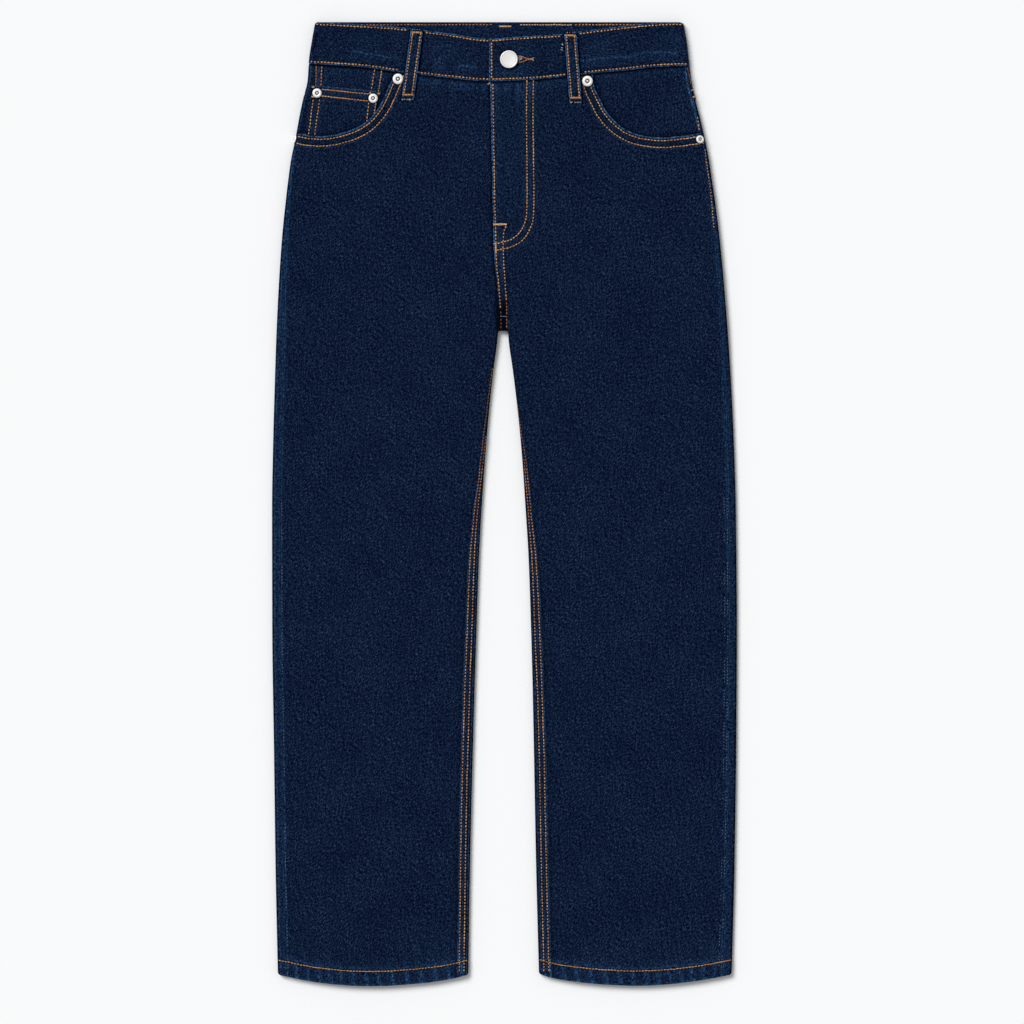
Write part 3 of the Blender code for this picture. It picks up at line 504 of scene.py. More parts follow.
denim = {
    "twillTurn": math.radians(53), "dashLong": 2.8, "dashWide": 1.1, "grain": 0.95,
    "deep": (0.0004, 0.0018, 0.0095), "body": (0.0024, 0.0074, 0.0262),
    "light": (0.0098, 0.0225, 0.0590), "fleck": (0.033, 0.060, 0.118),
    "worn": (0.024, 0.078, 0.190), "bright": (0.062, 0.178, 0.400),
    # the colour of painted shade, for creases, grooves and places in shade
    "paintedShade": (0.0003, 0.0009, 0.0035), "weft": (0.16, 0.19, 0.24), "weftDeep": (0.03, 0.045, 0.09),
    # distance in mm from the line, then how worn, how shaded and how high (mm) the cloth is there
    "lines": {
        "mouth": [(-1, 0, 0, 0), (0, 1, 0, 0), (1.1, .95, 0, 0), (2.0, .2, .4, -.15), (3.3, 0, .7, -.35),
                  (4.4, .05, .35, 0), (6, .12, .15, .15), (9.2, .05, .3, 0), (10.4, 0, .6, -.35),
                  (11.5, .25, .1, 0), (12.5, .3, 0, .05), (14.2, 0, .1, 0), (17.5, 0, 0, 0)],
        "fly": [(-1, 0, 0, 0), (0, 1, 0, 0), (1.3, 1, 0, 0), (2, .3, .2, -.1), (2.7, 0, .6, -.35),
                (3.6, .1, .1, 0), (6, .12, 0, .1), (10, 0, 0, 0)],
        # beside: painted shade on the right front along the left front's edge
        "beside": [(-9, 0, 0, 0), (-8, 0, .9, 0), (.4, 0, .9, 0), (1.6, 0, .5, 0), (3.6, 0, 0, 0)],
        "pair": [(-5, 0, 0, 0), (0, .2, 0, .12), (2.4, .12, .05, 0), (3.45, 0, .5, -.3), (4.6, .22, .05, 0),
                 (6.5, .1, 0, 0), (9.5, 0, 0, 0)],
        "fell": [(-3, 0, 0, 0), (-1.1, .3, 0, 0), (-.3, .2, .3, 0), (.1, 0, .7, -.2), (.9, .35, 0, 0),
                 (1.8, 0, .5, -.3), (2.8, .12, .1, 0), (4.5, .18, 0, .1), (6.2, .1, .1, 0), (7.2, 0, .55, -.3),
                 (8.2, .4, 0, 0), (9.2, .55, 0, 0), (10.3, .1, .45, 0), (12, 0, .3, 0), (15, 0, 0, 0)],
        "outseam": [(-3, 0, 0, 0), (-.8, .1, .35, -.15), (.3, .55, 0, .1), (1.2, .3, 0, .1), (2.6, .05, .05, 0),
                    (5, 0, 0, 0)],
        "hem": [(-4, 0, 0, 0), (-3, .5, 0, 0), (0, .5, 0, 0), (1.2, .3, 0, 0), (3, .08, 0, 0), (8, .1, 0, .1),
                (13, .08, 0, 0), (15.5, 0, .5, -.4), (16.8, .25, .1, 0), (18.3, .35, 0, 0), (20.5, .1, 0, 0),
                (26, 0, 0, 0)],
        # waist: painted shadow under the band, then a little wear below it
        "waist": [(-4, 0, 0, 0), (-3, 0, .95, 0), (.2, 0, .95, 0), (1.2, 0, .8, 0), (2.2, .1, .35, 0),
                  (4, .15, 0, 0), (8, .06, 0, 0), (14, 0, 0, 0)],
        "edge": [(-5, 0, 0, 0), (-.5, 1, 0, 0), (.9, .95, 0, 0), (1.5, .25, .15, -.1), (2.3, 0, .55, -.35),
                 (3.4, .05, .12, 0), (6, 0, 0, .1), (9, 0, 0, 0)],
        "streak": [(-4, 0, 0, 0), (-1.2, 0, 0, 0), (-.3, .46, 0, 0), (.3, .46, 0, 0), (1.2, .06, 0, 0),
                   (3.5, .03, 0, 0), (7, 0, 0, 0)],
        # lip: painted shadow that the mouth's edge casts on the facing and the coin pocket
        "lipShadow": [(-4, 0, 0, 0), (-1, 0, .7, 0), (1, 0, .7, 0), (2.5, 0, .35, 0), (6, 0, 0, 0)],
        "coin": [(-5, 0, 0, 0), (-.5, .85, 0, 0), (.9, .6, 0, 0), (2.2, .1, .2, 0), (3.2, 0, .4, -.2),
                 (4.4, .2, .05, .1), (7, .12, 0, .15), (9.4, .15, .05, .1), (10.6, 0, .4, -.2), (12, .35, 0, 0),
                 (13.2, .1, .2, -.1), (15, 0, 0, 0)],
    },
}


rings = []  # middle and radius of each round piece, in metres
for name in ("button", "rivet_coin_outer", "rivet_coin_inner", "rivet_mouth_right_inner",
             "rivet_mouth_left_inner", "rivet_mouth_left_outer"):
    low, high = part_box(name)
    rings.append(((low[0] + high[0]) / 2, (low[1] + high[1]) / 2, (high[1] - low[1]) / 2))


def contactShade(n):
    # dark line on the cloth round the metal pieces and along both sides of the front loops
    place = n.put("ShaderNodeTexCoord").outputs["Object"]
    flat = n.put("ShaderNodeVectorMath", {0: place, 1: (1, 1, 0)}, operation="MULTIPLY").outputs[0]
    ring = 1.0
    for x, y, radius in rings:
        away = n.put("ShaderNodeVectorMath", {0: flat, 1: (x, y, 0)}, operation="DISTANCE").outputs["Value"]
        ring = n.math("MINIMUM", n.math("SUBTRACT", away, radius), ring)
    strip = 1.0
    for (xt, yt), (xb, yb) in loopEnds.values():
        along = np.array([xb - xt, yb - yt, 0])
        length = np.hypot(*along[:2])
        along = along / length
        middle = ((xt + xb) / 2 * mm, (yt + yb) / 2 * mm, 0)
        local = n.put("ShaderNodeVectorMath", {0: flat, 1: middle}, operation="SUBTRACT").outputs[0]
        run, side = (n.put("ShaderNodeVectorMath", {0: local, 1: v}, operation="DOT_PRODUCT").outputs["Value"]
                     for v in (tuple(along), (-along[1], along[0], 0)))
        off = n.math("MAXIMUM", n.math("SUBTRACT", n.math("ABSOLUTE", side), 6.5 * mm),
                     n.math("SUBTRACT", n.math("ABSOLUTE", run), (length / 2 - 1) * mm))
        strip = n.math("MINIMUM", off, strip)
    round1 = n.ramp(n.math("ADD", n.math("DIVIDE", ring, 4 * mm), 0.25),
                    [(0.0, (.9,) * 3), (0.42, (.9,) * 3), (0.6, (.35,) * 3), (0.8, (0, 0, 0))])
    beside = n.ramp(n.math("ADD", n.math("DIVIDE", strip, 4 * mm), 0.25),
                    [(0.25, (0, 0, 0)), (0.28, (.9,) * 3), (0.5, (.8,) * 3), (0.75, (0, 0, 0))])
    return n.math("MAXIMUM", round1, beside)


def makeDenim():
    # dark indigo twill, worn, shaded or raised along the seams and edges
    s = denim
    n = Nodes("denim")
    uv = n.put("ShaderNodeUVMap", uv_map="cloth").outputs[0]
    # the twill: short dashes on the diagonal, mixed with grain, stronger in some places than in others
    dash = n.noise(n.mapped(uv, s["twillTurn"], (s["dashLong"], s["dashWide"], 1)), 1.0, 1.0, 0.5, 0.2)
    grain = n.noise(uv, 1 / s["grain"], 1.0, 0.6)
    patch = n.noise(uv, 0.07, 2.0, 0.6)
    cloud = n.noise(uv, 0.018, 3.0, 0.55)
    slub = n.noise(n.mapped(uv, 0, (1.2, 24, 1)), 1.0, 1.0, 0.5)
    share = n.math("ADD", n.math("MULTIPLY", patch, 0.9), 0.12)
    weave = n.math("ADD", n.math("MULTIPLY", n.math("SUBTRACT", dash, 0.5), n.math("ADD", share, 0.30)),
                   n.math("MULTIPLY", n.math("SUBTRACT", grain, 0.5), 0.62))
    weave = n.math("ADD", weave, n.math("MULTIPLY", n.math("SUBTRACT", slub, 0.5), 0.16))
    weave = n.math("ADD", weave, n.math("MULTIPLY", n.math("SUBTRACT", cloud, 0.5), 0.10))
    tone = n.math("ADD", weave, 0.5)
    colour = n.ramp(tone, [(0.36, s["deep"]), (0.49, s["body"]), (0.62, s["light"]), (0.76, s["fleck"])])
    # lines along the seams and edges
    # the attribute on the points adds wear and painted highlights; its values below zero are painted shade
    worn, shade, height = n.attribute("wearShadeAndHighlight"), contactShade(n), 0.0
    for label, stops in s["lines"].items():
        start, end = stops[0][0], stops[-1][0]
        place = n.math("DIVIDE", n.math("SUBTRACT", n.attribute(label), farAway + start), end - start)
        look = n.ramp(place, [((d - start) / (end - start), (w, k, h + 0.5)) for d, w, k, h in stops])
        split = n.put("ShaderNodeSeparateColor", {0: look}).outputs
        worn = n.math("ADD", worn, split[0])
        shade = n.math("MAXIMUM", split[1], shade)
        height = n.math("ADD", n.math("SUBTRACT", split[2], 0.5), height)
    uneven = n.noise(uv, 0.30, 2.0, 0.7)
    broken = n.math("MULTIPLY", n.math("SUBTRACT", uneven, 0.30), 2.6)
    broken = n.math("ADD", broken, n.math("MULTIPLY", weave, 2.4))
    broken = n.math("MINIMUM", n.math("MAXIMUM", broken, 0.0), 1.5)
    worn = n.math("MULTIPLY", worn, broken)
    worn = n.math("MINIMUM", n.math("MAXIMUM", worn, 0.0), 0.94)
    faded = n.mix(n.math("MULTIPLY", worn, worn), (*s["worn"], 1), (*s["bright"], 1))
    colour = n.mix(worn, colour, faded)
    # painted shade: the attribute's values below zero and the lines' shade darken the cloth toward the shade
    # colour
    dark = n.math("MAXIMUM", n.math("MULTIPLY", n.attribute("wearShadeAndHighlight"), -1.0), shade)
    colour = n.mix(dark, colour, (*s["paintedShade"], 1))
    weft = n.mix(n.math("MULTIPLY", dash, 0.8), (*s["weft"], 1), (*s["weftDeep"], 1))
    colour = n.mix(n.attribute("inside"), colour, weft)
    n.tree.links.new(colour, n.shader.inputs["Base Color"])
    height = n.math("ADD", height, n.math("MULTIPLY", weave, 0.5))
    lift = n.put("ShaderNodeBump", {"Height": height, "Strength": 1.0, "Distance": 0.001})
    n.tree.links.new(lift.outputs[0], n.shader.inputs["Normal"])
    n.shader.inputs["Roughness"].default_value = 0.95
    n.shader.inputs["Specular IOR Level"].default_value = 0.015
    return n.material


def makeThread():
    # a stitch's tone runs from the black of a needle hole, painted shade, over pale blue and brown to light
    # orange
    n = Nodes("thread")
    tone = n.attribute("tone")
    colour = n.ramp(tone, [(0.0, (0.0012, 0.0014, 0.003)), (0.04, (0.0012, 0.0014, 0.003)),
                           (0.07, (0.085, 0.18, 0.36)), (0.13, (0.085, 0.18, 0.36)),
                           (0.2, (0.19, 0.070, 0.024)), (0.5, (0.54, 0.225, 0.070)),
                           (0.85, (0.83, 0.49, 0.21)), (1.0, (0.92, 0.72, 0.46))])
    place = n.put("ShaderNodeTexCoord").outputs["Object"]
    fibre = n.noise(place, 2600.0, 2.0, 0.6)
    between = n.ramp(fibre, [(0.4, (0.35, 0.35, 0.35)), (0.6, (0, 0, 0))])
    colour = n.mix(between, colour, (0.10, 0.030, 0.008, 1))
    n.tree.links.new(colour, n.shader.inputs["Base Color"])
    ply = n.put("ShaderNodeTexWave", {"Vector": place, "Scale": 620.0, "Distortion": 1.5},
                bands_direction="DIAGONAL").outputs[1]
    lift = n.put("ShaderNodeBump", {"Height": ply, "Strength": 0.35, "Distance": 0.0002})
    n.tree.links.new(lift.outputs[0], n.shader.inputs["Normal"])
    n.shader.inputs["Roughness"].default_value = 0.62
    n.shader.inputs["Specular IOR Level"].default_value = 0.2
    return n.material


def makeFray():
    # pale loose yarn
    n = Nodes("loose_yarn")
    place = n.put("ShaderNodeTexCoord").outputs["Object"]
    colour = n.ramp(n.noise(place, 900.0, 2.0), [(0.35, (0.12, 0.18, 0.28)), (0.6, (0.55, 0.60, 0.64))])
    n.tree.links.new(colour, n.shader.inputs["Base Color"])
    n.shader.inputs["Roughness"].default_value = 0.85
    n.shader.inputs["Specular IOR Level"].default_value = 0.1
    return n.material


def makeSteel():
    # pale brushed metal, dark where the points say so
    n = Nodes("pale_metal")
    place = n.put("ShaderNodeTexCoord").outputs["Object"]
    brushed = n.noise(n.mapped(place, 0.6, (0.0002, 0.0016, 0.0004)), 1.0, 3.0, 0.6)
    shine = n.ramp(brushed, [(0.35, (0.90, 0.90, 0.89)), (0.65, (0.96, 0.96, 0.95))])
    colour = n.mix(n.attribute("dark"), shine, (0.035, 0.030, 0.028, 1))
    n.tree.links.new(colour, n.shader.inputs["Base Color"])
    rough = n.ramp(brushed, [(0.3, (0.34, 0.34, 0.34)), (0.7, (0.46, 0.46, 0.46))])
    n.tree.links.new(rough, n.shader.inputs["Roughness"])
    lift = n.put("ShaderNodeBump", {"Height": brushed, "Strength": 0.12, "Distance": 0.0001})
    n.tree.links.new(lift.outputs[0], n.shader.inputs["Normal"])
    n.shader.inputs["Metallic"].default_value = 0.3
    return n.material


denimMaterial = makeDenim()
threadMaterial = makeThread()
frayMaterial = makeFray()
steelMaterial = makeSteel()
print("materials made")


# Camera, light and floor

studio = {
    "aim": (8.4, -8.4), "height": 6000.0, "clothHeight": 5, "frameWidth": 1075.2, "sensor": 36.0,
    "sun": 2.52, "sunAngle": 30, "sunFrom": (-0.62, 0.62, 0.95), "sky": 0.42,
    "floor": (0.939, 0.9455, 0.953), "floorSize": 12, "floorGap": 0.4,
}


def setStudio():
    # camera straight above, one soft sun from the upper left, an even sky, a pale floor
    s = studio
    lens = bpy.data.cameras.new("camera")
    lens.sensor_width = s["sensor"]
    lens.lens = s["sensor"] * (s["height"] - s["clothHeight"]) / s["frameWidth"]
    camera = linked("camera", lens)
    camera.location = (s["aim"][0] * mm, s["aim"][1] * mm, s["height"] * mm)
    bpy.context.scene.camera = camera
    lamp = bpy.data.lights.new("sun", "SUN")
    lamp.energy = s["sun"]
    lamp.angle = math.radians(s["sunAngle"])
    x, y, z = s["sunFrom"]
    linked("sun", lamp).rotation_euler = (math.atan2(math.hypot(x, y), z), 0, math.atan2(x, -y))
    world = bpy.data.worlds.new("sky")
    world.use_nodes = True
    sky = world.node_tree.nodes["Background"]
    sky.inputs["Color"].default_value = (1, 1, 1, 1)
    sky.inputs["Strength"].default_value = s["sky"]
    bpy.context.scene.world = world
    bpy.context.scene.view_settings.view_transform = "Standard"
    bpy.ops.mesh.primitive_plane_add(size=s["floorSize"], location=(0, 0, -s["floorGap"] * mm))
    floor = bpy.context.object
    floor.name = "floor"
    n = Nodes("floor")
    n.shader.inputs["Base Color"].default_value = (*s["floor"], 1)
    n.shader.inputs["Roughness"].default_value = 1.0
    n.shader.inputs["Specular IOR Level"].default_value = 0.0
    floor.data.materials.append(n.material)


setStudio()
print("studio set")


# Fronts

# midway between the two curved rows of the fly
jayPath = smoothPath([(27.5, 470), (27.5, 445), (26.9, 412), (27.9, 319), (27.4, 304), (26, 295.8),
                      (23.4, 288.8), (18.9, 282), (13, 276.5), (7, 273.4), (0, 271.5), (-8, 269.7),
                      (-20, 267)], 160)


def foldEdgeShadeAndHighlight(side, dOut):
    # painted shade at the very edge of the side fold, then a thin light line beside it, a painted highlight
    # along the fold
    line = {left: 0.16, right: 0.42}[side]
    return line * bump(dOut - 2.5, 0.8) - 0.85 * ramp((1.7 - dOut) / 0.8)


def flyShadeAndHighlight(f, x, y, low):
    # beside the fly's edge: painted shade, nearly black at the crotch; a lighter strip above it; below the band
    # a soft crease in painted shade with a painted highlight beside it
    strip = ramp(f + 0.5) * ramp((9.9 - f) / 1.4) * ramp((y - 176) / 5)
    shade = 0.88 * low * strip + 0.3 * ramp((264 - y) / 12) * bump(f - 0.8, 1.0) * (1 - low)
    shade = shade + 0.3 * bump(x - 9.7, 1.4) * ramp((y - 398) / 12) * ramp((446 - y) / 8)
    light = 0.45 * bump(f - 7.2, 1.2) * bump(y - 256, 7) + 0.12 * bump(f - 5, 4) * bump(y - 262, 32)
    return light + 0.3 * bump(x - 15, 2.6) * bump(y - 429, 8) + 0.05 * bump(x - 4, 18) * (y > 300) - shade


def frontFields(side, x, y, z):
    # distances to the lines of a front, slow changes of wear, and painted shade and highlights at its edges and
    # by the fly
    s = frontSeams
    hUp = y - read(hemLine, "y", x, "x")
    waves = hemWaves(side, x, hUp)
    inHem = ramp((s["hemRow"] - hUp) / 2)
    wearShadeAndHighlight = inHem * (0.62 * np.clip(waves, 0, 1) ** 3)
    wearShadeAndHighlight = wearShadeAndHighlight + 0.10 * bump(hUp - 24, 16) * np.clip(waves, 0, 1) * (1 - inHem)
    w = read(waistSeam, "y", x, "x") - y
    wearShadeAndHighlight = wearShadeAndHighlight + 0.25 * bump(w - 7, 5) * np.clip(np.sin(x / 2.3 + 2 * np.sin(x / 17)), 0, 1)
    f = x - read(flyEdge, "x", y)
    dOut = side * (outerEdge(side, y) - x)
    fields = {
        "mouth": mouthDistance(side, x, y), "waist": w, "hem": hUp,
        "fell": fellPlace(side, x, y) + 60 * ramp((y - {left: 96, right: 132}[side]) / 20),
        "outseam": dOut - read(outseamInset, sideName[side], y) + 20 * ramp((y - 370) / 12),
    }
    away = 30 * (1 - ramp((y - 177) / 6))  # no fly below the crotch
    low = ramp((226 - y) / 24)  # the crotch lies in shade
    # painted shade at the edges of both folds, with a painted highlight beside the side fold
    wearShadeAndHighlight = wearShadeAndHighlight + foldEdgeShadeAndHighlight(side, dOut)
    dIn = np.where(y < cloth["crotchY"], -side * (read(innerLeg, sideName[side], y) - x), 99)
    wearShadeAndHighlight = wearShadeAndHighlight - 0.8 * ramp((1.5 - dIn) / 0.8)
    if side == left:
        wearShadeAndHighlight = wearShadeAndHighlight + flyShadeAndHighlight(f, x, y, low)
        fields["fly"] = f + away
        fields["pair"] = pathDistance(x, y, jayPath) + 20 * ramp((1.5 - f) / 1.5)
    else:
        wearShadeAndHighlight = wearShadeAndHighlight + 0.3 * bump(x + 46, 4.5) * bump(y - 437.5, 4)
        # painted shade beside the left front's edge, wider in the crotch
        fields["beside"] = away - f * (1 - 0.45 * low)
    fields = {label: values + farAway for label, values in fields.items()}
    fields["wearShadeAndHighlight"] = wearShadeAndHighlight
    fields["inside"] = (z < frontTop(side, x, y) - 0.75) * 1.0
    return fields


frontSteps = {  # places of the columns in from the outseam and from the inseam
    "out": np.array([[0, 0.12, 0.35, 0.7, 1.2, 1.9, 2.8, 4, 5.5, 7.5, 10]]),
    "in": np.array([[13, 11.2, 10, 9.3, 8.6, 7.8, 7.0, 5.9, 4.6, 3.4, 2.5, 1.8, 1.2, 0.7, 0.35, 0.12, 0]]),
}


def makeFront(side):
    # rows down the leg; columns round the outseam, over the front, then round the inseam or to the fly
    topY = cloth["seamY"] - cloth["gap"]
    hips = spread(topY, cloth["hipsEnd"], 3.3)
    legs = spread(cloth["legsStart"], cloth["hemY"], 3.3)
    yRow = np.concatenate([hips, legs])[:, None]
    rowGap = np.minimum(topY - yRow, yRow - cloth["hemY"])
    hip = yRow > cloth["crotchY"]
    outSteps, inSteps = frontSteps["out"], frontSteps["in"]
    outCount, inCount = outSteps.size, inSteps.size
    across = np.linspace(0, 1, 68)[None, 1:-1]
    edgeOut = outerEdge(side, yRow) - side * hemCut(yRow)
    seam = wrapLength(read(outseamInset, sideName[side], yRow)) + cloth["gap"] / 2
    lap = cloth["gap"] / 2 if side == left else read(flyEdge, "lap", yRow)
    centre = read(flyEdge, "x", yRow) + lap - side * cloth["fold"]
    edgeIn = np.where(hip, centre, read(innerLeg, sideName[side], yRow) + side * hemCut(yRow))
    inseam = wrapLength(read(inseamInset, sideName[side], yRow)) + cloth["gap"] / 2
    inseam = np.where(hip, quarter, inseam)
    colGap = np.hstack([outSteps, 99 + 0 * across, inSteps])
    edge = np.minimum(colGap, rowGap)

    def grid(depth):
        # x and z of the skin at a depth below the face: round the folds, and straight in between
        dOut, dMid, dIn = depth[:, :outCount], depth[:, outCount:-inCount], depth[:, -inCount:]
        xo, zo = foldAt(edgeOut, side, seam + outSteps, dOut)
        xi, zi = foldAt(edgeIn, -side, inseam + inSteps, dIn)
        xm = xo[:, -1:] * (1 - across) + xi[:, :1] * across
        zm = 2 * cloth["fold"] - dMid
        return np.hstack([xo, xm, xi]), np.hstack([zo, zm, zi])

    flat = np.zeros((len(yRow), colGap.shape[1]))
    x, z = grid(flat)
    y = yRow + waistBow(x, yRow) + hemBow(x, yRow)
    relief = frontRelief(side, x, y)
    lift = flyLift(x, y) if side == left else 0
    dip = edgeDip(edge)
    skins = []
    for depth in (dip, cloth["wall"] - dip):
        xd, zd = grid(depth)
        yd = yRow + waistBow(xd, yRow) + hemBow(xd, yRow)
        skins.append(np.stack([xd, yd, zd + relief + lift + rise(yRow)], -1))
    uv = np.stack([x, y], -1)
    piece = wallMesh("front_panel_" + sideName[side], skins[0], skins[1], uv, {}, denimMaterial)
    cutMouth(piece, side)
    addRim(piece, side)
    at = np.empty(3 * len(piece.data.vertices), np.float32)
    piece.data.vertices.foreach_get("co", at)
    x, y, z = (at.reshape(-1, 3) / mm).T
    paint(piece, frontFields(side, x, y, z))
    layCloth(piece, ["front_" + sideName[side]])
    return piece


def cutMouth(piece, side):
    # takes the pocket mouth's outline out of a front, then leaves a plain mesh
    xs, ys = mouthPath(side, count=60).T
    past = outerEdge(side, ys[-1]) + side * 20
    xs = np.concatenate([xs[:1], xs, [past, past]])
    ys = np.concatenate([[500], ys, [ys[-1], 500]])
    count = len(xs)
    low = np.stack([xs, ys, 0 * xs - 5], -1)
    points = np.concatenate([low, low + [0, 0, 45]]) * mm
    faces = [list(range(count))[::-1], list(range(count, 2 * count))]
    faces += [[i, (i + 1) % count, (i + 1) % count + count, i + count] for i in range(count)]
    mesh = bpy.data.meshes.new("mouth_cutter")
    mesh.from_pydata(points.tolist(), [], faces)
    if side == right:
        mesh.flip_normals()
    cutter = linked("mouth_cutter", mesh)
    change = piece.modifiers.new("cut", "BOOLEAN")
    change.operation = "DIFFERENCE"
    change.solver = "EXACT"
    change.object = cutter
    fixMesh(piece)
    bpy.data.objects.remove(cutter)


rim = {"radius": 0.78, "flat": 0.9, "sides": 10, "count": 150}


def addRim(piece, side):
    # the turned edge of the pocket mouth: a soft roll along the cut, joined to the front
    path = mouthPath(side, rim["radius"] * 0.7)
    path = path[path[:, 1] < read(waistSeam, "y", path[:, 0], "x") + 1.5]
    path = path[side * (outerEdge(side, path[:, 1]) - path[:, 0]) > 1.2]
    walk = lengthAlong(path)
    path = pointsAt(path, walk, np.linspace(0, walk[-1], rim["count"]))
    along = unit(np.gradient(path, axis=0))
    turn = np.linspace(0, 2 * math.pi, rim["sides"] + 1)[None, :-1]
    sideways = rim["radius"] * np.cos(turn)
    x = path[:, :1] - along[:, 1:] * sideways
    y = path[:, 1:] + along[:, :1] * sideways
    base = frontTop(side, path[:, 0], path[:, 1])[:, None] - rim["radius"] * 0.75
    z = base + rim["radius"] * rim["flat"] * np.sin(turn)
    points = np.stack([x, y, z], -1).reshape(-1, 3) * mm
    index = np.arange(len(points)).reshape(rim["count"], -1)
    after = np.roll(index, -1, axis=1)
    faces = np.stack([index[:-1], after[:-1], after[1:], index[1:]], -1).reshape(-1, 4).tolist()
    faces += [index[0][::-1].tolist(), index[-1].tolist()]
    mesh = bpy.data.meshes.new("rim")
    mesh.from_pydata(points.tolist(), [], faces)
    corner = mesh.vertices[0].co.copy()
    outward = mesh.polygons[0].normal.dot(corner - mesh.vertices[rim["sides"] // 2].co)
    if outward < 0:
        mesh.flip_normals()
    mesh.polygons.foreach_set("use_smooth", np.ones(len(faces), bool))
    mesh.materials.append(denimMaterial)
    order = np.array([v for f in mesh.polygons for v in f.vertices])
    mesh.uv_layers.new(name="cloth").data.foreach_set("uv", (points[order, :2] / mm).ravel())
    roll = linked("rim", mesh)
    bpy.ops.object.select_all(action="DESELECT")
    roll.select_set(True)
    piece.select_set(True)
    bpy.context.view_layer.objects.active = piece
    bpy.ops.object.join()


def fixMesh(piece):
    # keeps what the modifiers give as the piece's own mesh
    done = bpy.data.meshes.new_from_object(piece.evaluated_get(bpy.context.evaluated_depsgraph_get()))
    piece.modifiers.clear()
    old = piece.data
    piece.data = done
    bpy.data.meshes.remove(old)


for side in (left, right):
    makeFront(side)
print("fronts made")


# Backs and yokes

seamSteps = np.array([[0, 0.12, 0.35, 0.7, 1.2]])


def backLengths(seam, steps=seamSteps):
    # from the seam down round the fold to the underside
    start = seam - steps
    turn = np.linspace(0, 1, 9)[None, 1:]
    return np.hstack([start, start[:, -1:] * (1 - turn) - quarter * turn])


def makeBack(side):
    # rows down the leg; columns from the outseam round the fold, under the leg and up to the inseam
    topY = cloth["yokeSideY"] - cloth["gap"]
    hips = spread(topY, cloth["hipsEnd"], 6.0)
    legs = spread(cloth["legsStart"], cloth["hemY"], 5.0)
    yRow = np.concatenate([hips, legs])[:, None]
    hip = yRow > cloth["crotchY"]
    seam = wrapLength(read(outseamInset, sideName[side], yRow)) - cloth["gap"] / 2
    inseam = wrapLength(read(inseamInset, sideName[side], yRow)) - cloth["gap"] / 2
    outer = backLengths(seam)
    inner = np.where(hip, -quarter - 1.2 * np.arange(13)[None], backLengths(inseam))[:, ::-1]
    edgeOut = outerEdge(side, yRow) - side * hemCut(yRow)
    edgeIn = np.where(hip, cloth["centreX"] + side * (cloth["gap"] / 2 - cloth["fold"]),
                      read(innerLeg, sideName[side], yRow) + side * hemCut(yRow))
    across = np.linspace(0, 1, 26)[None, 1:-1]
    count = outer.shape[1]
    colGap = np.hstack([seam - outer, 99 + 0 * yRow * across, np.where(hip, 99, inseam - inner)])
    colGap[:, -1:] = 0
    edge = np.minimum(colGap, np.minimum(topY - yRow, yRow - cloth["hemY"]))

    def grid(depth):
        # x and z of the skin at a depth below the face: round the folds, and straight in between
        xo, zo = foldAt(edgeOut, side, outer, depth[:, :count])
        xi, zi = foldAt(edgeIn, -side, inner, depth[:, -count:])
        xm = xo[:, -1:] * (1 - across) + xi[:, :1] * across
        return np.hstack([xo, xm, xi]), np.hstack([zo, depth[:, count:-count], zi])

    def level(x):
        # each row's place up the leg, bent with the yoke seam and the hem
        bow = (yokeY(x) - cloth["yokeSideY"]) * ramp((yRow - 330) / 99)
        return yRow + bow + hemBow(x, yRow)

    dip = edgeDip(edge)
    skins = []
    for depth in (dip, cloth["wall"] - dip):
        x, z = grid(depth)
        y = level(x)
        up = ramp((z - cloth["fold"]) / 2)
        hUp = y - read(hemLine, "y", x, "x")
        hem = frontSeams["hemRaise"] * ramp((frontSeams["hemRow"] + 0.1 - hUp) / 1.2)
        z = z + up * (seamPucker(y) + hem)
        skins.append(np.stack([x, y, np.maximum(z, 0) + rise(yRow)], -1))
    x, y, z = (skins[0][..., k] for k in range(3))
    hUp = y - read(hemLine, "y", x, "x")
    top = ramp((z - rise(yRow) - 3.5) / 2)
    wearShadeAndHighlight = top * (0.12 + 0.5 * bump(colGap, 1.0))
    # painted shade at the edges of both folds, with a painted highlight beside the outer one
    wearShadeAndHighlight = wearShadeAndHighlight + top * foldEdgeShadeAndHighlight(side, side * (edgeOut - x))
    dIn = np.where(hip, 99, -side * (edgeIn - x))
    wearShadeAndHighlight = wearShadeAndHighlight - 0.8 * ramp((1.5 - dIn) / 0.8)
    wearShadeAndHighlight = wearShadeAndHighlight + top * 0.3 * ramp((frontSeams["hemRow"] - hUp) / 2) * np.clip(np.sin(y / 1.5 + x / 3), 0, 1)
    uv = np.stack([x + side * z, y], -1)
    piece = wallMesh("back_panel_" + sideName[side], skins[0], skins[1], uv, {"wearShadeAndHighlight": wearShadeAndHighlight}, denimMaterial)
    layCloth(piece, ["back_" + sideName[side]])


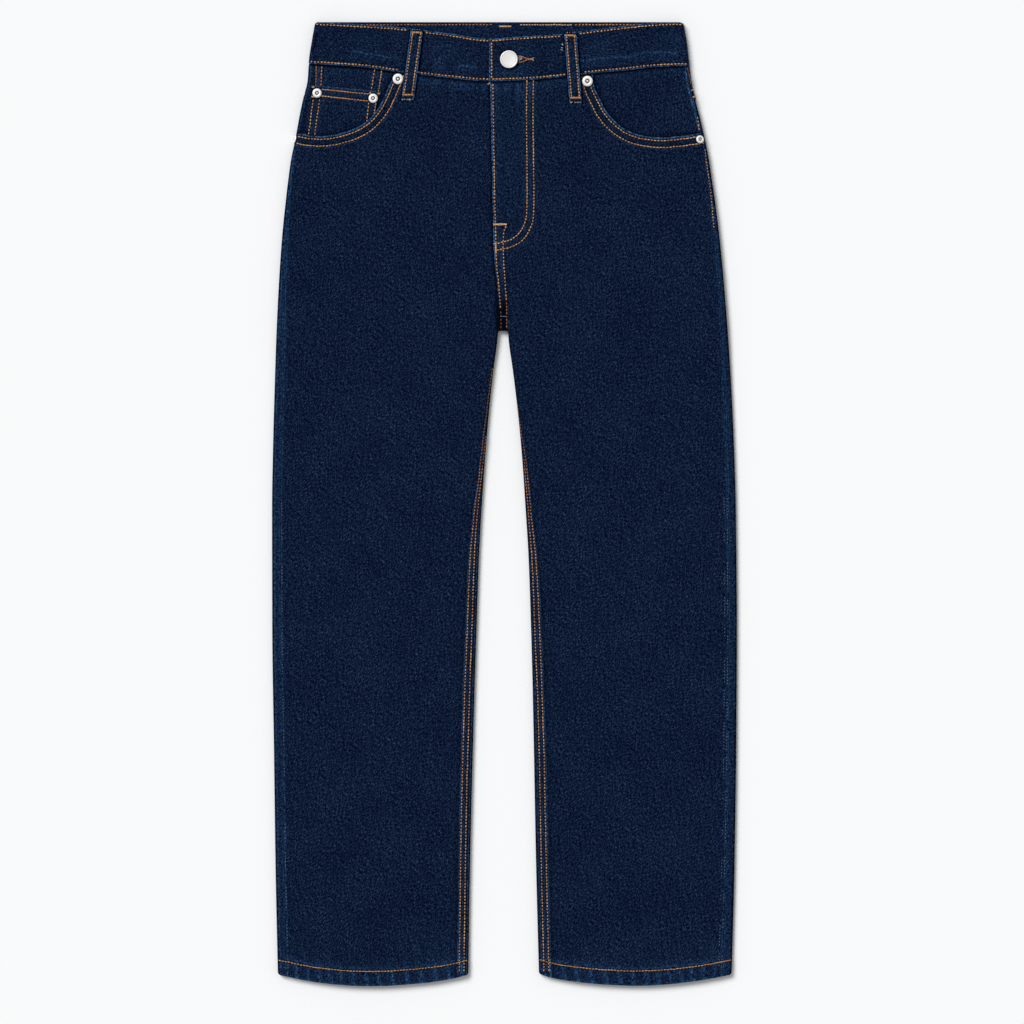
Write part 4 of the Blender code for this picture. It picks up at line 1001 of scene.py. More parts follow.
def makeYoke(side):
    # as the back, from the waist seam down to the yoke seam
    down = np.linspace(0, 1, 16)[:, None]
    top = cloth["seamY"] - cloth["gap"]
    ySide = top + (cloth["yokeSideY"] - top) * down
    seam = wrapLength(read(outseamInset, sideName[side], ySide)) - cloth["gap"] / 2
    outer = backLengths(seam)
    count = outer.shape[1]
    across = np.linspace(0, 1, 22)[None, 1:]
    colGap = np.hstack([seam - outer, 99 + 0 * ySide * across])
    edge = np.minimum(colGap, np.minimum(down, 1 - down) * 32)
    dip = edgeDip(edge)
    skins = []
    for depth in (dip, cloth["wall"] - dip):
        xo, zo = foldAt(outerEdge(side, ySide), side, outer, depth[:, :count])
        xm = xo[:, -1:] * (1 - across) + (cloth["centreX"] + side * cloth["gap"] / 2) * across
        x = np.hstack([xo, xm])
        z = np.hstack([zo, depth[:, count:]])
        sideDrop = read(waistSeam, "y", outerEdge(side, cloth["seamY"]), "x") - cloth["seamY"]
        upFold = (1 + (zo - cloth["fold"]) / (cloth["fold"] - depth[:, :count])) / 2
        high = top + sideDrop * np.hstack([upFold, 0 * xm])  # up the side fold to the seam in front
        y = high + (yokeY(x) - high) * down
        skins.append(np.stack([x, y, z + rise(y)], -1))
    uv = skins[0][..., :2] + [500, 0]
    fields = {"wearShadeAndHighlight": 0.35 * bump(colGap, 0.9)}
    piece = wallMesh("yoke_panel_" + sideName[side], skins[0], skins[1], uv, fields, denimMaterial)
    layCloth(piece, ["yoke_" + sideName[side]])


backPocket = {"fromCentre": 36, "slant": 8, "wide": 148, "taper": 16, "topY": 388, "high": 126, "point": 32}


def makeBackPocket(side):
    # a patch under the back, with a pointed lower edge
    s = backPocket
    across = spread(0, s["wide"], 5)[None]
    down = spread(0, s["high"], 6)[:, None]
    share = down / s["high"]
    inner = s["fromCentre"] + s["slant"] * share
    x = side * (inner + (s["wide"] - s["taper"] * share) * across / s["wide"])
    y = s["topY"] - down - s["point"] * (1 - np.abs(2 * across / s["wide"] - 1)) * share
    edge = np.minimum(edgeGap(across[0])[None], edgeGap(down[:, 0])[:, None])
    dip = edgeDip(edge)
    skins = [np.stack([x, y, dip], -1), np.stack([x, y, cloth["wall"] - dip], -1)]
    piece = wallMesh("back_pocket_patch_" + sideName[side], skins[0], skins[1], skins[0][..., :2],
                     {"edge": edge}, denimMaterial)
    layCloth(piece, ["back_pocket_" + sideName[side]])


for side in (left, right):
    makeBack(side)
    makeYoke(side)
    makeBackPocket(side)
print("backs made")


# Pocket facings and coin pocket

facing = {"depth": {left: 1.6, right: 2.9}, "high": 74, "under": 8, "across": 52, "foldColumns": 7,
          "fromEdge": (6, 10), "edgeRadius": 0.45}


def facingTop(side, x, y):
    # height of a facing's upper face, at the surface by the fold and a wall lower inside
    depth = facing["depth"][side]
    d = side * (outerEdge(side, y) - x)
    swell = 0.25 * np.sin(x / 13 + y / 19) + 0.12 * np.sin(x / 5 - y / 7)
    return foldHeight(d) - depth * ramp((d - 2) / 4) + rise(y) + swell * ramp((d - 6) / 8)


coinRows = {
    "outer": smoothPath([(-192.4, 462), (-194.6, 443.1), (-202, 388.9), (-203, 380)]),
    "inner": smoothPath([(-131, 460), (-132, 453.6), (-134.1, 440.5), (-140, 404), (-142, 392)]),
}


def coinPair(x, y):
    # distance to the nearer pair of rows that hold the coin pocket
    return np.minimum(pathDistance(x, y, coinRows["outer"]), pathDistance(x, y, coinRows["inner"]))


def mouthY(side, x, margin):
    # place up the garment of the mouth's lower edge, a margin further out
    path = mouthPath(side, margin)
    path = path[np.argsort(path[:, 0])]
    return np.minimum(np.interp(x, path[:, 0], path[:, 1]), mouthEdge[side][1][1])


def makeFacing(side):
    # columns round the side fold, then across to behind the mouth's edge
    s = facing
    folded = s["foldColumns"]
    near, past = s["fromEdge"]
    down = spread(0, s["high"], 2.2)[:, None] / s["high"]
    cornerY = mouthEdge[side][-1][1]
    end = mouthPath(side, s["under"])[0, 0]
    sideY = cloth["seamY"] - cloth["gap"] + (cornerY - cloth["seamY"]) * down
    seam = wrapLength(read(outseamInset, sideName[side], sideY)) + cloth["gap"]
    turns = seam + (quarter + 1.0 - seam) * np.linspace(0, 1, folded)[None]
    share = np.linspace(0, 1, s["across"])[None]
    lowX = (outerEdge(side, cornerY) - side * past) * (1 - share) + end * share
    lowY = np.hstack([np.full((1, folded + 2), cornerY + cloth["gap"]), mouthY(side, lowX[:, 1:], s["under"])])
    edge = outerEdge(side, sideY)

    def grid(depth):
        # x and z of the skin at a depth below the face: round the folds, and straight in between
        xf, zf = foldAt(edge, side, turns, depth[:, :folded])
        xi = (edge - side * past) * (1 - share) + end * share
        return np.hstack([xf, edge - side * near, xi]), zf

    colGap = np.hstack([turns - seam, np.full((len(down), share.size + 1), 99.0)])
    edgeNear = np.minimum(colGap, edgeGap(down[:, 0] * s["high"])[:, None])
    dip = edgeDip(edgeNear, s["edgeRadius"])
    skins = []
    for depth in (dip, cloth["thinWall"] - dip):
        x, zf = grid(depth)
        high = read(waistSeam, "y", x[:1], "x") - cloth["gap"]
        y = high + (lowY - high) * down
        z = facingTop(side, x, y) - depth
        z[:, :folded] = zf + rise(y[:, :folded])
        skins.append(np.stack([x, y, z], -1))
    x, y = skins[0][..., 0], skins[0][..., 1]
    # the painted shadow under the mouth's edge goes by the distance inside the mouth
    fields = {"waist": read(waistSeam, "y", x, "x") - y, "lipShadow": -mouthDistance(side, x, y)}
    fields["wearShadeAndHighlight"] = {left: 0.9, right: 0.25}[side] * bump(colGap - 0.5, 1.1) * (colGap < 50)
    if side == right:  # light strips beside the rows that hold the coin pocket
        fields["wearShadeAndHighlight"] = fields["wearShadeAndHighlight"] + 0.16 * bump(x + 194.4, 1.6) * (y > 438)
        # painted shade at the side fold's edge and a painted highlight beside it
        fields["wearShadeAndHighlight"] = fields["wearShadeAndHighlight"] + foldEdgeShadeAndHighlight(side, side * (outerEdge(side, y) - x))
        fields["pair"] = coinPair(x, y)
    uv = skins[0][..., :2] + [0, 300]
    piece = wallMesh("facing_" + sideName[side], skins[0], skins[1], uv, fields, denimMaterial)
    layCloth(piece, ["pocket_facing_" + sideName[side]])


coinPocket = {"highOuter": 439.6, "highInner": 433.2, "depth": 1.6, "outerX": -200, "wide": 72, "high": 55,
              "hem": 12, "hemRaise": 0.35,
              "y": [441, 408.5, 380], "outer": [-200.2, -205, -208.4], "inner": [-127.4, -133.8, -137]}


def coinTop(x, y):
    # height of the coin pocket's upper face, swollen in the middle
    swell = 0.35 * bump(x + 165, 26) * bump(y - 412, 22) + 0.1 * np.sin(x / 7 + y / 9)
    return 2 * cloth["fold"] - coinPocket["depth"] + rise(y) + swell


def makeCoinPocket():
    # rows down and columns across a patch whose upper edge slopes, on the right facing
    s = coinPocket
    down = spread(0, s["high"], 1.8)[:, None] / s["high"]
    across = spread(0, s["wide"], 1.8)[None] / s["wide"]
    high = s["highOuter"] + (s["highInner"] - s["highOuter"]) * across
    y = high + (390 - high) * down
    outer, inner = read(s, "outer", y), read(s, "inner", y)
    x = outer + (inner - outer) * across
    y = high + (mouthY(right, x, 6) - high) * down
    edge = np.minimum(edgeGap(across[0] * s["wide"])[None], edgeGap(down[:, 0] * s["high"])[:, None])
    dip = edgeDip(edge, facing["edgeRadius"])
    z = coinTop(x, y) + s["hemRaise"] * ramp((s["hem"] - (high - y)) / 1.5)
    skins = [np.stack([x, y, z - dip], -1), np.stack([x, y, z - cloth["thinWall"] + dip], -1)]
    # painted shadow under the mouth's edge, as on the facing
    fields = {"coin": high - y, "lipShadow": -mouthDistance(right, x, y), "pair": coinPair(x, y)}
    piece = wallMesh("coin_patch", skins[0], skins[1], skins[0][..., :2] + [900, 0], fields, denimMaterial)
    layCloth(piece, ["coin_pocket"])


makeFacing(left)
makeFacing(right)
makeCoinPocket()
print("pockets made")


# Waistband

band = {"endX": -15.5, "underEndX": 29.4, "rampFrom": 31.0, "rampTo": 46.0, "high": 43.5,
        "rowIn": 2.3, "corner": 3.2, "buttonX": 5.2, "topY": 506.0, "edgeRadius": 1.1}


def bandLift(x):
    # the buttonhole end lies on the underlap and comes down beside it
    s = band
    return (cloth["bandWall"] + cloth["gap"]) * (1 - ramp((x - s["rampFrom"]) / (s["rampTo"] - s["rampFrom"])))


def bandRelief(x, up):
    # up is the height above the seam; grooves under the stitch rows and small puckers beside them
    low, high = bump(up - band["rowIn"], 0.9), bump(band["high"] - up - band["rowIn"], 0.9)
    ripple = np.sin(x / 1.7 + 2 * np.sin(x / 23)) * (bump(up - 6, 4) + bump(up - 38, 4))
    slow = 0.22 * np.sin(x / 29 + 0.6) * np.sin(up / 12) + 0.15 * np.sin(x / 11 + up / 8)
    dimple = -0.5 * bump(np.hypot(x - band["buttonX"], up - 21), 13)
    return -0.3 * (low + high) + 0.1 * ripple + slow + dimple * (np.abs(x - 6) < 60)


def bandTop(x, y, over=True):
    # height of the front waistband's upper face; over picks the buttonhole end above the underlap
    x, y = np.asarray(x, float), np.asarray(y, float)
    up = y - read(waistSeam, "y", x, "x")
    lift = bandLift(x) * (x >= band["endX"] - 0.5) if over else 0
    return 2 * cloth["bandFold"] + rise(y) + lift + bandRelief(x, up)


def sideEdge(side, y):
    # the same as outerEdge, for an array of sides
    return np.where(side == left, outerEdge(left, y), outerEdge(right, y))


def makeBand():
    # once round the waist: over the front, down the left fold, over the back, up the right fold, under
    s = band
    f = cloth["bandFold"]
    flat = {k: outerEdge(k, cloth["seamY"]) - k * f for k in (left, right)}
    over = np.concatenate([s["endX"] + edgeSteps, np.linspace(-8, flat[left], 110)])
    turn = np.radians(np.linspace(90, -90, 11))
    back = np.linspace(flat[left], flat[right], 80)[1:-1]
    endX = s["underEndX"]
    under = np.concatenate([np.linspace(flat[right], endX - 6, 125), endX - edgeSteps[::-1]])
    place = np.concatenate([over, 0 * turn + left, back, 0 * turn + right, under])
    isTurn = np.concatenate([0 * over, 0 * turn + 1, 0 * back, 0 * turn + 1, 0 * under]).astype(bool)
    up = np.concatenate([0 * over + 1, np.sin(turn), 0 * back - 1, np.sin(turn[::-1]), 0 * under + 1])
    isOver = np.concatenate([0 * over + 1, 0 * turn, 0 * back, 0 * turn, 0 * under])
    side = np.where(place >= 0, left, right)
    rows = spread(0, s["high"], 1.5)[None] / s["high"]
    xFlat = np.where(isTurn, sideEdge(side, cloth["seamY"]), place)[:, None]
    frontShare = (1 + up[:, None]) / 2
    low = read(waistSeam, "y", xFlat, "x") * frontShare + cloth["seamY"] * (1 - frontShare)
    high = read(waistTop, "y", xFlat, "x") * frontShare + s["topY"] * (1 - frontShare)
    y = low + (high - low) * rows
    edgeX = sideEdge(side[:, None], y)
    edgeX0 = sideEdge(side, cloth["seamY"])[:, None]
    lift = (isOver * bandLift(place))[:, None]
    level = np.sqrt(np.maximum(1 - up[:, None] ** 2, 0))
    ends = np.full(len(place), 99.0)
    ends[: len(over)] = over - over[0]
    ends[-len(under):] = under[-1] - under
    edge = np.minimum(edgeGap(rows[0] * s["high"])[None], ends[:, None])
    dip = edgeDip(edge, s["edgeRadius"])
    facing = up[:, None]
    relief = bandRelief(xFlat, rows * s["high"]) * ramp(facing)
    skins = []
    for depth in (dip, cloth["bandWall"] - dip):
        z = f + (f - depth) * facing + lift + relief
        share = np.clip((rows * s["high"] - s["high"] + s["corner"]) / s["corner"], 0, 1)
        slim = 1 - 0.72 * (1 - np.sqrt(1 - share**2))  # rounds the top corners
        turned = edgeX - side[:, None] * (f - (f - depth) * level * slim)
        x = np.where(isTurn[:, None], turned, xFlat * edgeX / edgeX0)
        skins.append(np.stack([x, y, z + rise(y)], -1))
    length = np.concatenate([[0], np.cumsum(np.linalg.norm(np.diff(skins[0][:, 12], axis=0), axis=-1))])
    h = rows * s["high"]
    uv = np.stack([h + 0 * length[:, None], -length[:, None] + 0 * h], -1)
    # a thin light scribble above the seam, in stretches, and a lighter patch under the button
    streak = h - 14 - 1.0 * np.sin(xFlat / 9) * np.sin(xFlat / 31) - 0.5 * np.sin(xFlat / 3.7)
    wornFrom, wornTo = (-165, -75, -52, 75), (-106, -60, -25, 187)
    gate = sum(ramp((xFlat - a) / 5) * ramp((b - xFlat) / 5) for a, b in zip(wornFrom, wornTo))
    gate = np.clip(gate, 0, 1) * np.clip(facing, 0, 1)
    wearShadeAndHighlight = 0.14 * bump(h - 12, 5) * gate + 0.12 * bump(h - 27, 7) * np.clip(np.sin(xFlat / 13), 0, 1)
    wearShadeAndHighlight = wearShadeAndHighlight + 0.20 * bump(np.hypot(xFlat - s["buttonX"], 1.6 * (h - 8)), 17) * (facing > 0.5)
    fields = {"edge": edge, "wearShadeAndHighlight": wearShadeAndHighlight, "streak": streak + 20 * (1 - gate)}
    piece = wallMesh("waistband_strip", skins[0], skins[1], uv, fields, denimMaterial)
    # the back's inner face, which lies in the front's shade, is lightened a little: painted light
    inner = 0 * wearShadeAndHighlight + 0.06 * (facing < -0.5) + 0.5 * (facing > 0.5)  # faced with its own denim
    bothSkins = np.concatenate([wearShadeAndHighlight.ravel(), inner.ravel()])
    paint(piece, {"inside": 0 * bothSkins, "wearShadeAndHighlight": bothSkins})
    layCloth(piece, ["waistband"])


makeBand()
print("waistband made")


# Belt loops

loops = {"half": 6.5, "long": 72, "gap": 0.5, "bulge": 1.6, "edgeRadius": 0.75, "rowAt": 4.1,
         "tacks": (0.035, 0.945),
         # lower end, then both edges as lengths round the fold
         "side": {left: (424.0, -15.0, -2.0), right: (432.0, -16.2, -3.2)}}


def loopPlace(side, along, across):
    # point on a front loop's upper face: along runs 0 to 1 from the band's top, across is in mm
    (xt, yt), (xb, yb) = loopEnds[side]
    x = xt + (xb - xt) * along + across
    y = yt + (yb - yt) * along + 0 * across
    onBand = ramp((y - read(waistSeam, "y", x, "x") + 6) / 6)
    base = 2 * cloth["fold"] + 1.2 + (2 * cloth["bandFold"] - 2 * cloth["fold"] - 1.0) * onBand
    off = loops["bulge"] * ramp(along / 0.22) * ramp((1 - along) / 0.22)
    tack = -0.5 * sum(bump((along - at) * loops["long"], 1.6) for at in loops["tacks"])
    rib = -0.25 * bump(np.abs(across) - loops["rowAt"], 0.8) + 0.15 * np.cos(across / 1.4)
    wave = 0.15 * np.sin(along * 31) * np.cos(across / 4)
    return np.stack([x, y, base + loops["gap"] + cloth["loopWall"] + off + tack + rib + wave + rise(y)], -1)


def makeFrontLoop(side):
    # a strip over the band, ribbed along its rows and pulled down at its tacks
    long, half = loops["long"], loops["half"]
    along = spread(0, long, 1.6)[:, None] / long
    across = spread(-half, half, 0.9, edgeSteps[:6])[None]
    edge = np.minimum(edgeGap(along[:, 0] * long)[:, None], edgeGap(across[0])[None])
    top = loopPlace(side, along, across)
    dip = edgeDip(edge, loops["edgeRadius"])[..., None] * [0, 0, 1]
    skins = [top - dip, top - [0, 0, cloth["loopWall"]] + dip]
    uv = np.stack([across + 0 * along + 1500, along * long + 0 * across], -1)
    fields = {"edge": edgeGap(across[0])[None] + 0 * along, "wearShadeAndHighlight": 0.25 * bump(edge, 0.8) + 0.08}
    piece = wallMesh("loop_front_" + sideName[side], skins[0], skins[1], uv, fields, denimMaterial)
    layCloth(piece, ["belt_loop_front_" + sideName[side]])


def makeSideLoop(side):
    # a strip round the side fold, over the band and the seam below it
    bottom, start, end = loops["side"][side]
    y = spread(505.0, bottom, 2.5)[:, None]
    lengthAt = spread(start, end, 1.0, edgeSteps[:6])[None]
    edge = np.minimum(edgeGap(y[:, 0])[:, None], edgeGap(lengthAt[0])[None])
    dip = edgeDip(edge, loops["edgeRadius"])
    skins = []
    for depth in (dip, cloth["loopWall"] - dip):
        below = depth - loops["gap"] - cloth["loopWall"]
        x, z = foldAt(outerEdge(side, y), side, lengthAt, below, cloth["bandFold"])
        skins.append(np.stack([x, y + 0 * x, np.maximum(z + rise(y), 0.05)], -1))
    uv = np.stack([lengthAt + 0 * y + 1700, y + 0 * lengthAt], -1)
    piece = wallMesh("loop_side_" + sideName[side], skins[0], skins[1], uv, {"edge": edge}, denimMaterial)
    layCloth(piece, ["belt_loop_side_" + sideName[side]])


def makeBackLoop():
    # a flat strip under the back of the band
    y = spread(505.0, 432.0, 3)[:, None]
    x = 1.0 + spread(-loops["half"], loops["half"], 1.2, edgeSteps[:6])[None]
    edge = np.minimum(edgeGap(y[:, 0])[:, None], edgeGap(x[0])[None])
    dip = edgeDip(edge, loops["edgeRadius"])
    x, y = x + 0 * y, y + 0 * x
    skins = [np.stack([x, y, dip], -1), np.stack([x, y, cloth["loopWall"] - dip], -1)]
    piece = wallMesh("loop_back", skins[0], skins[1], skins[0][..., :2], {"edge": edge}, denimMaterial)
    layCloth(piece, ["belt_loop_back"])


for side in (left, right):
    makeFrontLoop(side)
    makeSideLoop(side)
makeBackLoop()
print("belt loops made")


# Thread

thread = {"pitch": 3.6, "length": 2.3, "radius": 0.66, "hole": 0.8}


def stitchShape():
    # a capsule along x: five-sided rings whose ends dip into the cloth
    stations = np.array([-0.5, -0.36, 0.0, 0.36, 0.5])
    sizes = np.array([0.35, 0.9, 1.0, 0.9, 0.35])
    heights = np.array([-0.55, 0.25, 0.55, 0.25, -0.55])
    turn = np.linspace(0, 2 * math.pi, 6)[:-1] + math.pi / 2
    points = np.stack([np.repeat(stations, 5), np.tile(np.cos(turn), 5) * np.repeat(sizes, 5),
                       np.tile(np.sin(turn), 5) * np.repeat(sizes, 5) * 0.85 + np.repeat(heights, 5)], -1)
    faces = []
    for i in range(4):
        for j in range(5):
            k = (j + 1) % 5
            faces.append((i * 5 + j, i * 5 + k, (i + 1) * 5 + k))
            faces.append((i * 5 + j, (i + 1) * 5 + k, (i + 1) * 5 + j))
    faces += [(0, 2, 1), (0, 3, 2), (0, 4, 3), (20, 21, 22), (20, 22, 23), (20, 23, 24)]
    return points, np.array(faces)


def holeShape():
    # a needle hole: a low six-sided cone, coloured black as painted shade in the hole
    turn = np.linspace(0, 2 * math.pi, 7)[:-1]
    points = np.concatenate([np.stack([np.cos(turn), np.sin(turn), 0 * turn - 0.5], -1), [[0, 0, 0.12]]])
    faces = [(i, (i + 1) % 6, 6) for i in range(6)] + [(0, 2, 1), (0, 3, 2), (0, 4, 3), (0, 5, 4)]
    return points, np.array(faces)


class Sewing:
    # gathers stitches for one piece of thread work, then makes them one mesh
    def __init__(self, name):
        self.name = name
        self.points, self.faces, self.tones, self.count = [], [], [], 0

    def add(self, shape, middle, along, normal, length, radius, tone):
        # copies a small shape to each middle, turned along the row and scaled by length and radius
        points, faces = shape
        along = unit(along)
        across = unit(np.cross(normal, along))
        up = np.cross(along, across)
        n = len(middle)
        length, radius = (np.broadcast_to(v, n)[:, None, None] for v in (length, radius))
        placed = middle[:, None] + along[:, None] * points[None, :, :1] * length
        placed = placed + (across[:, None] * points[None, :, 1:2] + up[:, None] * points[None, :, 2:]) * radius
        self.points.append(placed.reshape(-1, 3))
        starts = self.count + len(points) * np.arange(n)[:, None, None]
        self.faces.append((faces[None] + starts).reshape(-1, 3))
        self.tones.append(np.repeat(np.broadcast_to(tone, n), len(points)))
        self.count += n * len(points)

    def row(self, path, height, pitch=None, radius=None, shade=(0.42, 0.88), length=None):
        # stitches at equal steps along a smooth path on a surface of the given height
        pitch, radius = pitch or thread["pitch"], radius or thread["radius"]
        path = np.asarray(path, float)
        walk = lengthAlong(path)
        count = max(int(round(walk[-1] / pitch)), 1)
        at = (np.arange(count) + 0.5) * walk[-1] / count
        half = (length or thread["length"]) / 2

        def place(t):
            # points on the surface at lengths along the row
            flat = pointsAt(path, walk, t)
            return np.concatenate([flat, np.asarray(height(flat[:, 0], flat[:, 1])).reshape(-1, 1)], -1)

        middle, ahead, behind = place(at), place(at + half), place(at - half)
        d = 0.4
        gx = (height(middle[:, 0] + d, middle[:, 1]) - height(middle[:, 0] - d, middle[:, 1])) / (2 * d)
        gy = (height(middle[:, 0], middle[:, 1] + d) - height(middle[:, 0], middle[:, 1] - d)) / (2 * d)
        normal = unit(np.stack([-gx, -gy, 1 + 0 * gx], -1))
        along = ahead - behind
        along[:, :2] += rng.normal(0, 0.06, (count, 2))
        drift = 0.5 + 0.5 * np.sin(at / 23 + rng.uniform(0, 6)) * np.sin(at / 9 + rng.uniform(0, 6))
        tone = shade[0] + (shade[1] - shade[0]) * np.clip(0.55 * drift + rng.uniform(0, 0.55, count), 0, 1)
        middle = (ahead + behind) / 2 + normal * radius * 0.35
        middle[:, :2] += rng.normal(0, 0.10, (count, 2))
        swing = np.sin(at / 31 + rng.uniform(0, 6)) * np.sin(at / 13 + rng.uniform(0, 6))
        longer = 1 + 0.35 * np.clip(swing, 0, 1)
        stretch = (length or thread["length"]) * rng.uniform(0.82, 1.08, count) * longer
        self.add(stitchShape(), middle, along, normal, stretch, radius * rng.uniform(0.9, 1.1, count), tone)
        # black needle holes between the stitches: painted shade
        if thread["hole"] and pitch > 2:
            holes = place(np.clip(at + pitch / 2, 0, walk[-1]))
            self.add(holeShape(), holes + normal * 0.16, along, normal, thread["hole"], thread["hole"], 0.0)

    def tack(self, start, end, height, width=1.8, pitch=0.62, shade=(0.5, 0.95)):
        # a bar tack: threads laid side by side across a short line
        start, end = np.asarray(start, float), np.asarray(end, float)
        span = end - start
        count = max(int(np.hypot(*span) / pitch), 3)
        t = (np.arange(count) + 0.5) / count
        flat = start + span * t[:, None]
        z = np.asarray(height(flat[:, 0], flat[:, 1])).reshape(-1, 1)
        middle = np.concatenate([flat, z + 0.45], -1)
        cross = np.array([-span[1], span[0], 0]) / np.hypot(*span)
        lean = np.array([span[0], span[1], 0]) / np.hypot(*span) * 0.25
        along = np.broadcast_to(cross, (count, 3)) + lean * np.where(np.arange(count) % 2, 1, -1)[:, None]
        normal = np.broadcast_to([0.0, 0, 1], (count, 3))
        self.add(stitchShape(), middle, along, normal, width * rng.uniform(0.9, 1.1, count),
                 0.36, rng.uniform(*shade, count))

    def finish(self, material=threadMaterial):
        # all stitches gathered so far as one mesh
        points, faces = np.concatenate(self.points), np.concatenate(self.faces)
        piece = linked(self.name, faceMesh(self.name, points, faces, material))
        paint(piece, {"tone": np.concatenate(self.tones)})
        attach(piece, "root")


def onFront(side):
    # the surface that a row of stitches lies on, as a function of x and y
    return lambda x, y: frontTop(side, x, y)


def onFacing(x, y):
    # on the right facing
    return facingTop(right, x, y)


def onCoin(x, y):
    # on the coin pocket
    return coinTop(x, y) + 0.2


def onPocket(x, y):
    # the coin pocket below its hem, the facing above it
    s = coinPocket
    hem = s["highOuter"] + (x - s["outerX"]) * (s["highInner"] - s["highOuter"]) / s["wide"]
    return np.where(y < hem, onCoin(x, y), onFacing(x, y))


def onSide(x, y):
    # over the wearer's left side fold, on the facing's edge
    return foldHeight(outerEdge(left, y) - x) + rise(y) + 0.2


def onBand(x, y):
    # on the band's upper layer
    return bandTop(x, y)


def onUnderlap(x, y):
    # on the band under its buttonhole end
    return bandTop(x, y, over=False)


def onSideLoop(x, y):
    # over the side loop on the wearer's left
    f, r = cloth["bandFold"], cloth["bandFold"] + 0.5 + cloth["loopWall"]
    inset = np.minimum(outerEdge(left, y) - x, f)
    return f + np.sqrt(np.maximum(r**2 - (f - inset) ** 2, 1)) + rise(y)


def steady(z):
    # a level surface
    return lambda x, y: z + 0 * x


def sewBand():
    # rows along both edges and the end, what shows of the inner side, the buttonhole
    w = Sewing("waistband_stitches")
    start = band["endX"] + 2.6
    # both long rows stop beside the front loops
    for table, into, level, loopEnd, lean in ((waistTop, -1, 503, 0, 0.3), (waistSeam, 1, 465, 1, -0.2)):
        loopRight, loopLeft = (loopEnds[side][loopEnd][0] + lean * side for side in (right, left))
        spans = [(outerEdge(right, level) + 1.2, loopRight - 10, onUnderlap),
                 (loopRight + 9, band["endX"], onUnderlap),
                 (start, loopLeft - 10, onBand), (loopLeft + 9, outerEdge(left, level) - 1.2, onBand)]
        for first, last, on in spans:
            xs = np.linspace(first, last, 120)
            w.row(np.stack([xs, read(table, "y", xs, "x") + into * band["rowIn"]], -1), on)
    w.row([(start, 484.6), (start, 446.0)], onBand)
    inside = steady(cloth["bandWall"] + 2.2)
    w.row([(-185, 502.9), (-12, 503.2)], inside, shade=(0.25, 0.62), radius=0.5)
    w.row([(16.8, 503.0), (71.4, 503.0)], inside, pitch=2.9, radius=0.5, shade=(0.8, 1.0))
    w.row([(74, 503.0), (160, 503.2)], inside, shade=(0.4, 0.7))
    w.tack((-5.2, 501.4), (7.4, 501.4), inside, 1.9)
    w.tack((-13.6, 442.4), (-17.0, 440.2), onFront(right), 1.6)
    for way in (-1, 1):  # the buttonhole's sides close to a point
        hole = [(15.2, 466.4 + way * 3.6), (19.5, 466.4 + way * 2.6), (23.5, 466.4 + way * 0.7),
                (30.4, 466.5 + way * 0.3)]
        w.row(hole, onBand, pitch=0.75, length=1.4, radius=0.34, shade=(0.3, 0.75))
        w.tack((29.6, 466.5), (31.2, 466.5 + way * 1.6), onBand, 1.0)
    w.finish()


pocketRows = [  # surface, points, and how the stitches differ from the plain ones
    # wearer's left: the outseam below the rivet, then the facing's edge above and below the side loop
    (onFront(left), [(211.0, 373), (212.3, 359), (214.1, 348.3), (216.3, 332.3), (218.2, 314), (219.5, 299),
                     (220.6, 289.5)], {"pitch": 3.2, "length": 1.9, "radius": 0.42, "shade": (0.3, 0.95)}),
    (onSide, [(192.3, 458), (194.2, 450), (196.4, 441)],
     {"pitch": 3.0, "length": 2.6, "radius": 0.4, "shade": (0.2, 0.4)}),
    (onSide, [(202.8, 407), (204.2, 399), (205.3, 391.5)], {"radius": 0.42, "shade": (0.6, 1.0)}),
    # the coin pocket's outer pair and inner pair, above and below its hem
    (onPocket, [(-196.9, 460), (-197.6, 438.5)],
     {"pitch": 3.0, "length": 2.8, "radius": 0.5, "shade": (0.22, 0.45)}),
    (onPocket, [(-191.3, 460), (-192.0, 438.5)], {"shade": (0.3, 0.6)}),
    (onPocket, [(-200.1, 425), (-201.8, 413.7), (-203.2, 402.5), (-205.2, 387.5)], {"radius": 0.58}),
    (onPocket, [(-193.4, 425), (-194.8, 413.7), (-196.7, 402.5), (-198.8, 387)], {"radius": 0.58}),
    (onPocket, [(-135.7, 456.5), (-137.2, 447.5), (-139.5, 431.5)], {"radius": 0.58}),
    (onPocket, [(-128.4, 455), (-130.2, 441.8), (-131.8, 432)], {"pitch": 3.0, "length": 2.7, "radius": 0.52}),
    (onPocket, [(-141.6, 422), (-144.2, 399.8)], {"radius": 0.58}),
    (onPocket, [(-134.2, 421), (-136.3, 408.5)], {"radius": 0.58}),
]


def sewPockets():
    # two rows round each mouth, then the rows and tacks of the coin pocket
    w = Sewing("pocket_stitches")
    for side in (left, right):
        for d in frontSeams["mouthRows"]:
            path = mouthPath(side, d)
            path = path[path[:, 1] < read(waistSeam, "y", path[:, 0], "x") - 2]
            path = path[side * (outerEdge(side, path[:, 1]) - path[:, 0]) > 1.0]
            w.row(path, onFront(side), pitch=3.4, length=2.75, radius=0.56, shade=(0.4, 0.88))
    for on, points, look in pocketRows:
        w.row(smoothPath(points), on, **look)
    for ends in ([(-191.6, 435.3), (-141.4, 430.2)], [(-191.6, 428.3), (-142.4, 422.9)]):
        w.row(ends, onCoin, shade=(0.42, 0.72), pitch=3.0, length=2.9, radius=0.56)
    for x, y in ((-200.3, 437.6), (-200.8, 427.4), (-131.3, 430.8), (-140.4, 431.2)):
        w.tack((x - 1.3, y + 0.3), (x + 1.3, y - 0.3), onPocket, 1.8)
    w.finish()


